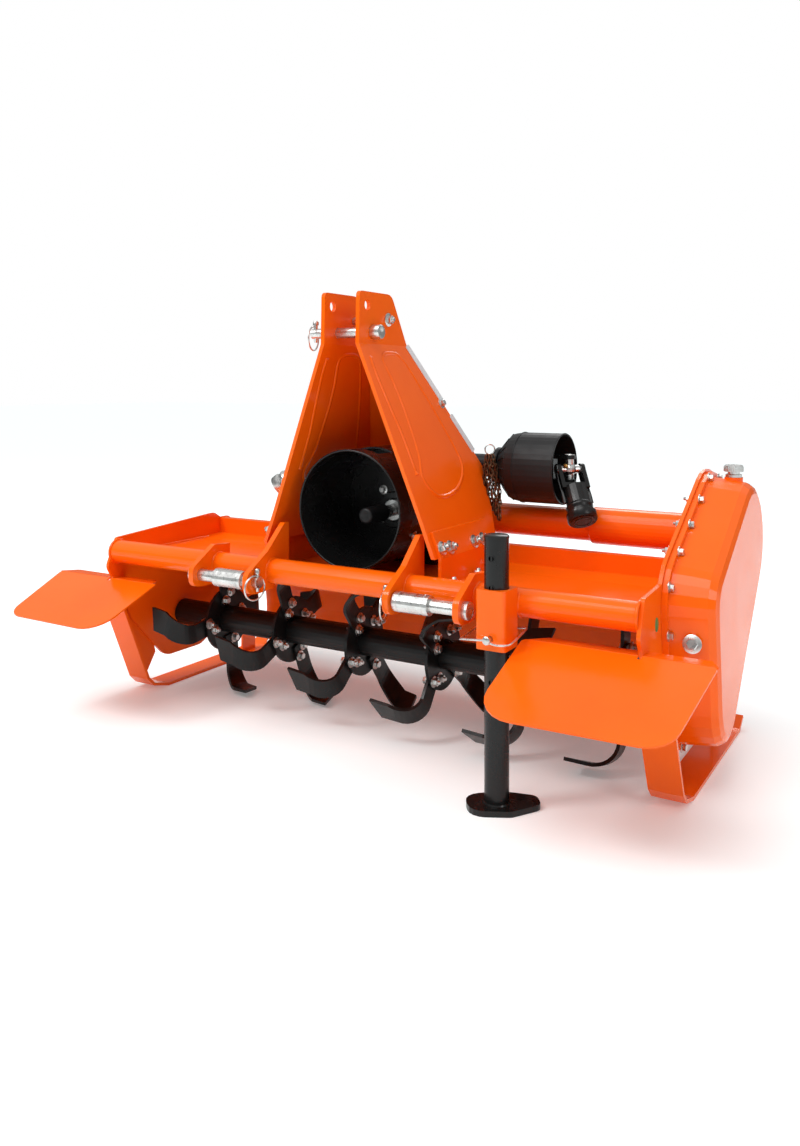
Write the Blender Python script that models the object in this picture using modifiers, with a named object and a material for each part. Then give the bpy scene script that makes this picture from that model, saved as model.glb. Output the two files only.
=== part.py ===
"""Rotary tiller for a tractor's three-point hitch, with side gear drive.

Metres, +Z up. +X is the side with the gear case, -Y is the tractor's side, and the
machine stands on the floor at z = 0 on its parking stand and its two skids.
While the parts are made, y = 0 is the axis of the front tube and x = 0 is the
middle of the machine. One empty, "tiller", then moves everything so that the
origin is the middle of the machine's outline on the floor.
"""
import math

import bmesh
import bpy
from mathutils import Matrix, Vector

# ---------------------------------------------------------------- driving dimensions
GAP = 0.0003              # clearance between pieces that touch

# frame
SIDE_X = 0.716            # inner face of each side plate, from the middle
SIDE_T = 0.008            # side plate
TUBE_R = 0.03015          # front tube, 60.3 mm pipe
TUBE_Z = 0.409
DECK_Z = 0.400            # top of the deck's floor
DECK_T = 0.004
CREASE_Y = 0.330          # where the deck starts to rise
BEAM_Y = 0.4165           # front face of the upright rear beam
BEAM_Z = 0.450            # top of the rear beam
SHEET_T = 0.004           # hood and beam sheet

# rotor
ROTOR_Y = 0.250
ROTOR_Z = 0.197
ROTOR_R = 0.188           # swing of the tines
ROTOR_TUBE_R = 0.0365
STUB_R = 0.0250           # rotor's stub axles, which run in the side plates
FLANGE_R = 0.088
FLANGE_T = 0.008
FLANGE_COUNT = 6
FLANGE_PITCH = 0.231
FLANGE_FIRST_X = -0.545
TINE_COUNT = 4            # tines on each flange
TINE_FIRST_DEG = 98.0     # first tine of the first flange, from straight up towards the front
TINE_STEP_DEG = 15.0      # turn from one flange to the next
TINE_W = 0.048
TINE_TIP_W = 0.062
TINE_T = 0.008
TINE_ROOT = 0.044         # where a tine starts, from the rotor's axis
TINE_LEG = 0.105          # sideways reach of a tine's leg, from its shank's middle
TINE_BEND_R = 0.055       # middle line of a tine's bend
TINE_SWEEP_DEG = 15.0     # how far a tine's tip trails its shank
TINE_CUT = 0.012          # slant of a tine's end
HUB_R = 0.052             # bearing hub on the side plate
HUB_L = 0.030

# drive
CROSS_Y = 0.500           # cross tube and upper gear
CROSS_Z = 0.505
CROSS_R = 0.046
CROSS_THIN_R = 0.040
SLEEVE_X = 0.450          # where the cross tube steps up to its sleeve
BOX_W = 0.190             # gearbox
BOX_D = 0.270
BOX_H = 0.205
INPUT_Z = 0.540           # input shaft
INPUT_R = 0.0175
INPUT_TIP_Y = 0.125
SHIELD_R = 0.1435         # drum round the input shaft
SHIELD_Z = 0.563
SHIELD_FRONT_Y = 0.050
SHIELD_T = 0.004
CASE_T = 0.012            # flange of the gear case
CASE_DEPTH = 0.106        # gear case, outward from the side plate
CASE_X = SIDE_X + SIDE_T + CASE_DEPTH
CASE_DRAFT = 0.020        # how far the domed face draws in
FILLER_R = 0.021          # boss under the filler cap
FILLER_OFFSET = 0.020     # filler boss, behind the upper gear's centre

# mast
MAST_TOP_X = 0.044        # mast plate at the top link, from the middle
MAST_T = 0.010
MAST_TOP_Z = 1.080
MAST_BEND_Z = 0.957
MAST_SPLAY = 0.386        # sideways run for each metre below the bend
MAST_FOOT_Z = 0.470
MAST_REAR = ((0.234, MAST_BEND_Z), (0.428, 0.640))     # columns: y, z of the rear edge, top and bottom
MAST_BACK_IN = 0.012      # plate that closes the mast's back, inside the rear edge
MAST_BACK_T = 0.004
MAST_BACK_TOP_Z = 0.925
MAST_BACK_LOW_Z = 0.670
TOP_PIN_Y = 0.072
TOP_PIN_Z = 0.985
TOP_PIN_R = 0.0127
TOP_PIN_TAIL = 0.064      # how far the pin stands out on the left
TOP_PIN_HEAD = 0.024
TOP_HOLE_Z = 1.048

# lower hitch
LUG_OUT_X = 0.354
LUG_IN_X = 0.199
LUG_T = 0.014
PIN_Y = -0.070
PIN_Z = 0.394
PIN_R = 0.0143
SLEEVE_R = 0.0218
SLEEVE_L = 0.085

# skids
SKID_IN_X = SIDE_X - 0.016
SKID_OUT_X = SIDE_X + SIDE_T + 0.048
SKID_T = 0.008
SKID_EAR_T = 0.006
SKID_BACK_Y = 0.680

# deflectors
WING_Y = -0.020
WING_Z = 0.338
WING_DROP_DEG = 20.0
WING_T = 0.004
WING_FLANGE = 0.045       # depth of the flange behind the wing's bend
WING_OUTLINES = {         # columns: out from the side plate, way down the slope, corner radius
    "left": ((-0.160, 0.0, 0.0), (-0.168, 0.222, 0.065), (0.164, 0.218, 0.050), (0.199, 0.0, 0.010)),
    "right": ((-0.240, 0.0, 0.012), (-0.242, 0.253, 0.075), (0.122, 0.250, 0.060), (0.150, 0.0, 0.010)),
}

# stand
STAND_X = 0.437
STAND_Y = -0.0625
STAND_R = 0.0254
STAND_TOP_Z = 0.552
STAND_CLEAR = 0.0008
BRACKET_W = 0.066
BRACKET_T = 0.005
BRACKET_BOTTOM_Z = 0.326
BRACKET_TOP_Z = 0.447
STAND_PIN_Z = 0.350
FOOT_T = 0.012

# tailgate
HINGE_Y = 0.600
HINGE_Z = 0.300
HINGE_R = 0.009
GATE_LEN = 0.205
GATE_T = 0.005

# drive shaft laid across the back of the mast
STOW_Y = 0.462
STOW_Z = 0.647
STOW_TUBE_R = 0.0300
STOW_LEFT_X = -0.205      # where the bells start
STOW_RIGHT_X = 0.215
BELL_R = 0.090
BELL_L = 0.169
BELL_T = 0.003
CROSS_REACH = 0.182       # from a bell's start to the middle of its joint
EAR_IN = 0.0260           # inner face of a yoke's ear, from the joint's middle
EAR_T = 0.010
EAR_R = 0.0145
YOKE_R = 0.030            # hub of a yoke
YOKE_L = 0.150            # from the joint's middle to the hub's end
END_YOKES = {             # directions in which the loose end yokes hang
    "left": (-0.74, -0.22, -0.635),
    "right": (0.40, -0.45, -0.80),
}

HOOD_PROFILE = (          # columns: y, z of the hood's outer surface, front to back
    (BEAM_Y + SHEET_T + GAP, BEAM_Z),
    (BEAM_Y + 0.026, BEAM_Z),
    (HINGE_Y - 0.050, HINGE_Z + 0.062),
    (HINGE_Y - 0.014, HINGE_Z + 0.012),
)

# ---------------------------------------------------------------- scene and materials
MATERIALS = {             # columns: colour, roughness, metallic
    "orange_paint": ((0.95, 0.13, 0.004, 1.0), 0.28, 0.0),
    "black_paint": ((0.012, 0.012, 0.012, 1.0), 0.35, 0.0),
    "black_plastic": ((0.016, 0.016, 0.016, 1.0), 0.55, 0.0),
    "zinc": ((0.62, 0.62, 0.60, 1.0), 0.32, 1.0),
}
EACH_SIDE = (("left", -1), ("right", 1))


def clear_scene():
    for thing in list(bpy.data.objects):
        bpy.data.objects.remove(thing, do_unlink=True)


def new_collection(name):
    group = bpy.data.collections.new(name)
    bpy.context.scene.collection.children.link(group)
    return group


def make_material(name):
    colour, roughness, metallic = MATERIALS[name]
    material = bpy.data.materials.new(name)
    material.use_nodes = True
    shader = material.node_tree.nodes["Principled BSDF"]
    shader.inputs["Base Color"].default_value = colour
    shader.inputs["Roughness"].default_value = roughness
    shader.inputs["Metallic"].default_value = metallic
    material.diffuse_color = colour
    return material


clear_scene()
PARTS = new_collection("rotary_tiller")
CUTTERS = new_collection("cutters")
PAINT = {name: make_material(name) for name in MATERIALS}
ROOT = bpy.data.objects.new("tiller", None)
PARTS.objects.link(ROOT)

# Turns local x, y, z into the world's y, z, x: for outlines drawn in the side view.
SIDE_VIEW = Matrix(((0, 0, 1, 0), (1, 0, 0, 0), (0, 1, 0, 0), (0, 0, 0, 1)))
# Turns local x, y, z into the world's x, -z, y: for outlines drawn in the front view.
FRONT_VIEW = Matrix(((1, 0, 0, 0), (0, 0, -1, 0), (0, 1, 0, 0), (0, 0, 0, 1)))


# ---------------------------------------------------------------- making and joining
def add_object(name, mesh, paint, pivot=(0, 0, 0), parent=None):
    """Links a mesh given in world positions, with the object's origin at pivot."""
    mesh.transform(Matrix.Translation(-Vector(pivot)))
    thing = bpy.data.objects.new(name, mesh)
    thing.parent = parent or ROOT
    thing.location = Vector(pivot) - (parent.location if parent else Vector((0, 0, 0)))
    mesh.materials.clear()
    mesh.materials.append(PAINT[paint])
    mesh.shade_smooth()
    mesh.set_sharp_from_angle(angle=math.radians(35))
    PARTS.objects.link(thing)
    return thing


def mesh_from(bm, name="piece"):
    bmesh.ops.recalc_face_normals(bm, faces=bm.faces)
    if bm.calc_volume(signed=True) < 0:
        bmesh.ops.reverse_faces(bm, faces=bm.faces)
    mesh = bpy.data.meshes.new(name)
    bm.to_mesh(mesh)
    bm.free()
    return mesh


def box_mesh(low, high):
    bm = bmesh.new()
    bmesh.ops.create_cube(bm, size=1.0)
    size = Vector(high) - Vector(low)
    middle = (Vector(high) + Vector(low)) / 2
    bmesh.ops.transform(bm, matrix=Matrix.Translation(middle) @ Matrix.Diagonal((*size, 1)), verts=bm.verts)
    return mesh_from(bm)


def rod_mesh(start, end, radius, radius_end=None, sides=24):
    """A straight round bar or cone from one point to another."""
    start, end = Vector(start), Vector(end)
    along = end - start
    bm = bmesh.new()
    bmesh.ops.create_cone(bm, cap_ends=True, segments=sides, radius1=radius,
                          radius2=radius if radius_end is None else radius_end, depth=along.length)
    turn = along.to_track_quat("Z", "Y").to_matrix().to_4x4()
    bmesh.ops.transform(bm, matrix=Matrix.Translation((start + end) / 2) @ turn, verts=bm.verts)
    return mesh_from(bm)


def rounded(corners, steps=4):
    """An outline from corners given as (x, y, radius), each radius turned into an arc."""
    points = []
    count = len(corners)
    for i, (x, y, radius) in enumerate(corners):
        here = Vector((x, y))
        if radius <= 0:
            points.append(here)
            continue
        to_last = (Vector(corners[i - 1][:2]) - here).normalized()
        to_next = (Vector(corners[(i + 1) % count][:2]) - here).normalized()
        half = to_last.angle(to_next) / 2
        reach = radius / math.tan(half)
        centre = here + (to_last + to_next).normalized() * radius / math.sin(half)
        first = here + to_last * reach - centre
        sweep = (here + to_next * reach - centre).angle_signed(first)
        for k in range(steps + 1):
            angle = sweep * k / steps
            points.append(centre + Matrix.Rotation(angle, 2) @ first)
    return points


def round_hole(x, y, radius, sides=16):
    return [Vector((x + radius * math.cos(2 * math.pi * k / sides),
                    y + radius * math.sin(2 * math.pi * k / sides))) for k in range(sides)]


def taut_outline(discs, step_deg=10):
    """The outline of a belt pulled taut round discs (x, y, radius) given anticlockwise."""
    points = []
    count = len(discs)
    headings = []
    for i in range(count):
        ax, ay, ar = discs[i]
        bx, by, br = discs[(i + 1) % count]
        run = Vector((bx - ax, by - ay))
        lean = math.asin((ar - br) / run.length)
        headings.append(math.atan2(run.y, run.x) - math.pi / 2 + lean)
    for i, (x, y, radius) in enumerate(discs):
        begin, end = headings[i - 1], headings[i]
        while end < begin:
            end += 2 * math.pi
        steps = max(1, round(math.degrees(end - begin) / step_deg))
        for k in range(steps + 1):
            angle = begin + (end - begin) * k / steps
            points.append(Vector((x + radius * math.cos(angle), y + radius * math.sin(angle))))
    return points


def plate_mesh(outline, thickness, matrix, holes=()):
    """A flat plate: a filled 2D curve, extruded by half its thickness each way."""
    curve = bpy.data.curves.new("outline", "CURVE")
    curve.dimensions = "2D"
    curve.fill_mode = "BOTH"
    curve.extrude = thickness / 2
    for loop in (outline, *holes):
        spline = curve.splines.new("POLY")
        spline.points.add(len(loop) - 1)
        spline.use_cyclic_u = True
        for point, spot in zip(spline.points, loop):
            point.co = (spot[0], spot[1], 0, 1)
    holder = bpy.data.objects.new("outline", curve)
    bpy.context.scene.collection.objects.link(holder)
    graph = bpy.context.evaluated_depsgraph_get()
    graph.update()
    mesh = bpy.data.meshes.new_from_object(holder.evaluated_get(graph))
    bpy.data.objects.remove(holder, do_unlink=True)
    bm = bmesh.new()
    bm.from_mesh(mesh)
    bmesh.ops.remove_doubles(bm, verts=bm.verts, dist=0.00001)
    bmesh.ops.transform(bm, matrix=matrix, verts=bm.verts)
    return mesh_from(bm)


def side_plate_mesh(outline, x_from, x_to, holes=()):
    """A plate drawn in the side view as (y, z), from one x to the other."""
    middle = (x_from + x_to) / 2
    return plate_mesh(outline, abs(x_to - x_from), Matrix.Translation((middle, 0, 0)) @ SIDE_VIEW, holes)


def turned_mesh(profile, start, direction, sides=32):
    """A profile of (radius, distance) turned about the line from start along direction."""
    bm = bmesh.new()
    verts = [bm.verts.new((radius, 0, along)) for radius, along in profile]
    edges = [bm.edges.new((verts[i], verts[(i + 1) % len(verts)])) for i in range(len(verts))]
    bmesh.ops.spin(bm, geom=verts + edges, cent=(0, 0, 0), axis=(0, 0, 1), dvec=(0, 0, 0),
                   angle=2 * math.pi, steps=sides, use_merge=True, use_duplicate=False)
    bmesh.ops.remove_doubles(bm, verts=bm.verts, dist=0.00001)
    turn = Vector(direction).to_track_quat("Z", "Y").to_matrix().to_4x4()
    bmesh.ops.transform(bm, matrix=Matrix.Translation(start) @ turn, verts=bm.verts)
    return mesh_from(bm)


def sheet_mesh(profile, x_from, x_to, thickness, outward=-1):
    """A bent sheet: a (y, z) profile drawn out along x, made solid on one side of it."""
    bm = bmesh.new()
    verts = [bm.verts.new((x_from, y, z)) for y, z in profile]
    edges = [bm.edges.new(pair) for pair in zip(verts, verts[1:])]
    moved = bmesh.ops.extrude_edge_only(bm, edges=edges)["geom"]
    ends = [item for item in moved if isinstance(item, bmesh.types.BMVert)]
    bmesh.ops.translate(bm, verts=ends, vec=(x_to - x_from, 0, 0))
    mesh = mesh_from(bm)
    face = mesh.polygons[0]
    if face.normal.z + face.normal.y * 0.5 < 0:
        mesh.flip_normals()
    holder = bpy.data.objects.new("sheet", mesh)
    bpy.context.scene.collection.objects.link(holder)
    solid = holder.modifiers.new("Solidify", "SOLIDIFY")
    solid.thickness = thickness
    solid.offset = outward
    solid.use_even_offset = True
    graph = bpy.context.evaluated_depsgraph_get()
    graph.update()
    result = bpy.data.meshes.new_from_object(holder.evaluated_get(graph))
    bpy.data.objects.remove(holder, do_unlink=True)
    return result


def mirrored(mesh, sign):
    """The mesh itself for the right side, or its mirror image for the left side."""
    if sign < 0:
        mesh.transform(Matrix.Diagonal((-1, 1, 1, 1)))
        mesh.flip_normals()
    return mesh


def combine(base, others, operation):
    """Applies a Boolean with each of the other meshes, in turn, to the first mesh."""
    holder = bpy.data.objects.new("base", base)
    bpy.context.scene.collection.objects.link(holder)
    tools = []
    for mesh in others:
        tool = bpy.data.objects.new("cutter", mesh)
        tool.hide_render = True
        tool.display_type = "WIRE"
        CUTTERS.objects.link(tool)
        tools.append(tool)
        step = holder.modifiers.new("Boolean", "BOOLEAN")
        step.operation = operation
        step.solver = "EXACT"
        step.object = tool
    graph = bpy.context.evaluated_depsgraph_get()
    graph.update()
    result = bpy.data.meshes.new_from_object(holder.evaluated_get(graph))
    for thing in tools + [holder]:
        bpy.data.objects.remove(thing, do_unlink=True)
    return result


def join(base, *others):
    return combine(base, others, "UNION")


def cut(base, *others):
    return combine(base, others, "DIFFERENCE")


# ---------------------------------------------------------------- frame
CASE_DISCS = (            # columns: y, z, radius, anticlockwise in the side view
    (ROTOR_Y, ROTOR_Z, 0.105),
    (CROSS_Y + 0.010, CROSS_Z - 0.012, 0.148),
    (ROTOR_Y - 0.035, CROSS_Z - 0.105, 0.095),
)


def make_front_tube():
    reach = SIDE_X - GAP
    mesh = rod_mesh((-reach, 0, TUBE_Z), (reach, 0, TUBE_Z), TUBE_R, sides=32)
    add_object("front_tube", mesh, "orange_paint")


def make_deck():
    start = math.sqrt(TUBE_R ** 2 - (TUBE_Z - DECK_Z) ** 2) + GAP
    profile = ((start, DECK_Z), (CREASE_Y, DECK_Z), (BEAM_Y - 0.012, DECK_Z + 0.006), (BEAM_Y - GAP, DECK_Z + 0.006))
    mesh = sheet_mesh(profile, -SIDE_X + GAP, SIDE_X - GAP, DECK_T)
    add_object("deck", mesh, "orange_paint")


def make_rear_beam():
    """An upright channel with its legs to the back, under the hood's front edge."""
    low = DECK_Z - 0.006
    outline = ((BEAM_Y, low), (BEAM_Y, BEAM_Z), (BEAM_Y + SHEET_T, BEAM_Z), (BEAM_Y + SHEET_T, low + SHEET_T),
               (BEAM_Y + 0.022, low + SHEET_T), (BEAM_Y + 0.022, low))
    mesh = side_plate_mesh(outline, -SIDE_X + GAP, SIDE_X - GAP)
    add_object("rear_beam", mesh, "orange_paint")


def make_hood():
    mesh = sheet_mesh(HOOD_PROFILE, -SIDE_X + GAP, SIDE_X - GAP, SHEET_T)
    add_object("rear_hood", mesh, "orange_paint")


def side_outline():
    """Side plate, drawn in the side view from the front top corner, clockwise."""
    return rounded((
        (-0.004, 0.446, 0.010),
        (0.371, 0.468, 0.0),
        (0.392, 0.468, 0.006),
        (BEAM_Y + 0.004, BEAM_Z + 0.002, 0.0),
        (BEAM_Y + 0.040, BEAM_Z + 0.002, 0.010),
        (HINGE_Y + 0.022, HINGE_Z + 0.030, 0.015),
        (HINGE_Y + 0.022, HINGE_Z - 0.070, 0.030),
        (ROTOR_Y + 0.080, 0.082, 0.060),
        (ROTOR_Y - 0.070, 0.082, 0.060),
        (0.052, 0.215, 0.020),
        (-0.036, 0.372, 0.020),
    ))


def right_side_outline():
    """The right side plate also backs the gear case, so it reaches past the case's outline."""
    discs = [(y, z, radius + 0.018) for y, z, radius in CASE_DISCS]
    return taut_outline(discs, step_deg=12)


def make_side_plates():
    hub = round_hole(ROTOR_Y, ROTOR_Z, STUB_R + GAP, 32)
    for side, sign in EACH_SIDE:
        inner, outer = sign * SIDE_X, sign * (SIDE_X + SIDE_T)
        mesh = side_plate_mesh(side_outline(), inner, outer, (hub,))
        if sign > 0:
            backing = side_plate_mesh(right_side_outline(), inner, outer, (hub,))
            mesh = join(mesh, backing)
        add_object(f"side_plate_{side}", mesh, "orange_paint")


def filler_spot(rise):
    """A point on the axis of the filler boss, at a height above the boss's top."""
    _, disc_z, disc_r = CASE_DISCS[1]
    return (SIDE_X + SIDE_T + CASE_X) / 2 + 0.004, CASE_DISCS[1][0] + FILLER_OFFSET, disc_z + disc_r + rise


def make_gear_case():
    """Flange against the side plate, then a drafted wall up to the domed outer face."""
    base_x = SIDE_X + SIDE_T + GAP
    rings = (             # columns: x, how far the outline draws in
        (base_x, -0.012),
        (base_x + CASE_T, -0.012),
        (base_x + CASE_T, 0.0),
        (CASE_X - 0.018, CASE_DRAFT * 0.5),
        (CASE_X - 0.005, CASE_DRAFT),
        (CASE_X, CASE_DRAFT + 0.014),
    )
    loops = []
    for x, inset in rings:
        discs = [(y, z, radius - inset) for y, z, radius in CASE_DISCS]
        loops.append((x, taut_outline(discs, step_deg=15)))
    bm = bmesh.new()
    rows = [[bm.verts.new((x, p.x, p.y)) for p in loop] for x, loop in loops]
    for low, high in zip(rows, rows[1:]):
        for k in range(len(low)):
            bm.faces.new((low[k - 1], low[k], high[k], high[k - 1]))
    bm.faces.new(rows[0])
    bm.faces.new(rows[-1])
    boss = rod_mesh(filler_spot(-0.050), filler_spot(0), FILLER_R, sides=24)
    add_object("gear_case", join(mesh_from(bm), boss), "orange_paint")


def make_filler_cap():
    """Breather cap, screwed down on the boss of the gear case."""
    cap = turned_mesh(((0, 0), (0.019, 0), (0.019, 0.006), (0.014, 0.008), (0.014, 0.012), (0.022, 0.013),
                       (0.022, 0.026), (0.018, 0.029), (0, 0.029)), filler_spot(GAP), (0, 0, 1), sides=16)
    add_object("filler_cap", cap, "zinc")


# ---------------------------------------------------------------- skids and deflectors
SKID_PROFILE = (          # columns: y, z of the strip's underside, front to back
    (0.006, 0.262),
    (0.104, 0.034),
    (0.125, 0.014),
    (0.180, 0.0),
    (SKID_BACK_Y - 0.040, 0.0),
    (SKID_BACK_Y, 0.022),
)


def make_skids():
    """A bent wear strip under each side plate, with two upright ears bolted to its outer face."""
    ear_in = SIDE_X + SIDE_T + GAP
    ear_out = ear_in + SKID_EAR_T
    front = ((0.014, 0.252), (0.108, 0.037), (0.150, 0.100), (0.112, 0.252))
    rear = ((0.535, 0.004), (0.535, 0.262), (0.598, 0.275), (0.598, 0.004))
    for side, sign in EACH_SIDE:
        profile = [(y, z + SKID_T) for y, z in SKID_PROFILE]
        strip = sheet_mesh(profile, SKID_IN_X, SKID_OUT_X, SKID_T)
        mesh = join(strip, side_plate_mesh(front, ear_in, ear_out), side_plate_mesh(rear, ear_in, ear_out))
        add_object(f"skid_{side}", mirrored(mesh, sign), "orange_paint")


def make_deflectors():
    """A sloping wing in front of each side plate, with a flange that is bolted to it."""
    bend_line = Matrix.Translation((0, WING_Y, WING_Z))
    slope = bend_line @ Matrix.Rotation(math.radians(WING_DROP_DEG), 4, "X")
    level = bend_line @ Matrix.Rotation(math.radians(-4), 4, "X")
    for side, sign in EACH_SIDE:
        corners = [(sign * (SIDE_X + out), down, radius) for out, down, radius in WING_OUTLINES[side]]
        sheet = plate_mesh(rounded([(x, -down, radius) for x, down, radius in corners], steps=6), WING_T, slope)
        x_in, x_out = corners[0][0], corners[-1][0]
        behind = ((x_out, -0.002, 0.0), (x_out - sign * 0.020, WING_FLANGE, 0.010),
                  (x_in + sign * 0.040, WING_FLANGE, 0.010), (x_in + sign * 0.012, -0.002, 0.0))
        flange = plate_mesh(rounded(behind), WING_T, level)
        slot_in, slot_out = sorted((sign * (SIDE_X - GAP), sign * (SIDE_X + SIDE_T + GAP)))
        slot = box_mesh((slot_in, WING_Y - 0.012, WING_Z - 0.05), (slot_out, WING_Y + 0.1, WING_Z + 0.05))
        add_object(f"deflector_{side}", cut(join(sheet, flange), slot), "orange_paint")


# ---------------------------------------------------------------- mast and hitch
def mast_x(z):
    """How far a mast plate's inner face is from the middle at a height."""
    return MAST_TOP_X + max(0.0, MAST_BEND_Z - z) * MAST_SPLAY


def make_mast_plates():
    outline = rounded((
        (0.016, MAST_TOP_Z, 0.012),
        (0.160, MAST_TOP_Z, 0.032),
        (*MAST_REAR[0], 0.0),
        (*MAST_REAR[1], 0.040),
        (0.360, MAST_FOOT_Z, 0.008),
        (0.034, MAST_FOOT_Z, 0.0),
        (0.034, 0.550, 0.0),
        (0.013, MAST_BEND_Z, 0.0),
    ))
    holes = [round_hole(TOP_PIN_Y, TOP_PIN_Z, TOP_PIN_R + GAP, 20), round_hole(TOP_PIN_Y - 0.022, TOP_HOLE_Z, TOP_PIN_R, 20)]
    for side, sign in EACH_SIDE:
        mesh = side_plate_mesh(outline, MAST_TOP_X, MAST_TOP_X + MAST_T, holes)
        bm = bmesh.new()
        bm.from_mesh(mesh)
        everything = list(bm.verts) + list(bm.edges) + list(bm.faces)
        bmesh.ops.bisect_plane(bm, geom=everything, plane_co=(0, 0, MAST_BEND_Z), plane_no=(0, 0, 1))
        for vert in bm.verts:
            vert.co.x = (vert.co.x + mast_x(vert.co.z) - MAST_TOP_X) * sign
        add_object(f"mast_plate_{side}", mesh_from(bm), "orange_paint")


def make_mast_back():
    """A plate that closes the back of the mast, just inside the rear edges of its two plates."""
    edge_top, edge_low = Vector(MAST_REAR[0]), Vector(MAST_REAR[1])
    down = (edge_low - edge_top).normalized()
    inward = Vector((down.y, -down.x))
    corners = []
    for z in (MAST_BACK_TOP_Z, MAST_BACK_LOW_Z):
        spot = edge_top + inward * MAST_BACK_IN
        run = (z - spot.y) / down.y
        half = mast_x(z) - GAP
        corners.append((half, run))
    (top, start), (low, end) = corners
    middle = edge_top + inward * (MAST_BACK_IN + MAST_BACK_T / 2)
    place = Matrix(((1, 0, 0, 0), (0, down.x, -inward.x, middle.x), (0, down.y, -inward.y, middle.y), (0, 0, 0, 1)))
    mesh = plate_mesh(((-top, start), (-low, end), (low, end), (top, start)), MAST_BACK_T, place)
    add_object("mast_back_plate", mesh, "orange_paint")


def make_mast_feet():
    """A bent bracket under each mast plate: it stands on the deck and laps the plate's outer face."""
    for side, sign in EACH_SIDE:
        bottom = DECK_Z + GAP
        lap_top = 0.528
        outer = mast_x(lap_top) + MAST_T + 1.2 * GAP
        low_x = mast_x(MAST_FOOT_Z) + MAST_T + 1.2 * GAP
        section = ((low_x + 0.030, bottom), (low_x, bottom), (low_x, MAST_FOOT_Z), (outer, lap_top),
                   (outer + 0.008, lap_top), (low_x + 0.008, MAST_FOOT_Z), (low_x + 0.008, bottom + 0.008),
                   (low_x + 0.030, bottom + 0.008))
        mesh = plate_mesh([(sign * x, z) for x, z in section], 0.275,
                          Matrix.Translation((0, 0.1865, 0)) @ FRONT_VIEW)
        add_object(f"mast_foot_{side}", mesh, "orange_paint")


def lug_outline(reach_back, top):
    """A hitch lug: an eye round the pin, with a saddle on the front tube."""
    return rounded((
        (PIN_Y - 0.030, PIN_Z + 0.020, 0.022),
        (-0.020, TUBE_Z + 0.052, 0.010),
        (reach_back, top, 0.0),
        (reach_back + 0.018, top, 0.0),
        (reach_back + 0.018, DECK_Z + 0.010, 0.0),
        (TUBE_R, TUBE_Z - 0.005, 0.0),
        (0.0, TUBE_Z - TUBE_R - 0.012, 0.0),
        (PIN_Y + 0.012, PIN_Z - 0.030, 0.020),
        (PIN_Y - 0.030, PIN_Z - 0.026, 0.022),
    ))


def make_lugs():
    """Inner lugs rise to the mast plates, outer lugs are short hooks. Both are cut to the tube."""
    tube = rod_mesh((-1, 0, TUBE_Z), (1, 0, TUBE_Z), TUBE_R + GAP, sides=32)
    hole = round_hole(PIN_Y, PIN_Z, PIN_R + GAP, 20)
    kinds = (             # columns: name, x of the inner face, back of the lug, top of the lug
        ("inner", LUG_IN_X, 0.045, 0.520),
        ("outer", LUG_OUT_X, 0.020, TUBE_Z + 0.048),
    )
    for kind, x, back, top in kinds:
        for side, sign in EACH_SIDE:
            mesh = side_plate_mesh(lug_outline(back, top), sign * x, sign * (x - LUG_T if kind == "inner" else x + LUG_T), (hole,))
            add_object(f"hitch_lug_{kind}_{side}", cut(mesh, tube), "orange_paint")


def make_pins():
    inner_end = LUG_IN_X - LUG_T - 0.014
    outer_end = LUG_OUT_X + LUG_T + 0.012
    for side, sign in EACH_SIDE:
        pin = rod_mesh((sign * inner_end, PIN_Y, PIN_Z), (sign * (outer_end - 0.006), PIN_Y, PIN_Z), PIN_R, sides=20)
        head = rod_mesh((sign * (LUG_OUT_X + LUG_T + GAP), PIN_Y, PIN_Z), (sign * outer_end, PIN_Y, PIN_Z), PIN_R * 1.35, sides=20)
        add_object(f"lower_pin_{side}", join(pin, head), "zinc")
        start = LUG_IN_X + 0.004 if sign > 0 else LUG_IN_X + 0.018
        ring = ((PIN_R + GAP, 0), (SLEEVE_R, 0), (SLEEVE_R, SLEEVE_L), (PIN_R + GAP, SLEEVE_L))
        sleeve = turned_mesh(ring, (sign * start, PIN_Y, PIN_Z), (sign, 0, 0), sides=20)
        add_object(f"pin_sleeve_{side}", sleeve, "zinc")
    reach = MAST_TOP_X + MAST_T
    start, end = (-reach - TOP_PIN_TAIL, TOP_PIN_Y, TOP_PIN_Z), (reach + TOP_PIN_HEAD, TOP_PIN_Y, TOP_PIN_Z)
    pin = rod_mesh(start, (reach + 0.004, TOP_PIN_Y, TOP_PIN_Z), TOP_PIN_R, sides=20)
    head = rod_mesh((reach + GAP, TOP_PIN_Y, TOP_PIN_Z), end, TOP_PIN_R * 1.3, sides=20)
    add_object("top_link_pin", join(pin, head), "zinc")


# ---------------------------------------------------------------- drive
def make_gearbox():
    """Plain housing on the deck, open at the back for the cross tube's flange."""
    low_y = CROSS_Y - BOX_D + 0.045
    high_y = CROSS_Y + 0.060
    low_z = CROSS_Z - 0.095
    outline = rounded((
        (low_y, INPUT_Z - 0.062, 0.015), (low_y, INPUT_Z + 0.062, 0.015), (CROSS_Y - 0.080, 0.6165, 0.010),
        (high_y, 0.6165, 0.020), (high_y, BEAM_Z + 0.012, 0.0), (BEAM_Y + 0.024, BEAM_Z + GAP, 0.0),
        (BEAM_Y - 0.014, BEAM_Z + GAP, 0.0), (BEAM_Y - 0.014, DECK_Z + 0.0065, 0.0), (CREASE_Y, DECK_Z + GAP, 0.0),
        (low_y + 0.030, DECK_Z + GAP, 0.010),
    ))
    mesh = side_plate_mesh(outline, -BOX_W / 2, BOX_W / 2)
    add_object("gearbox", mesh, "black_paint")


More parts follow.
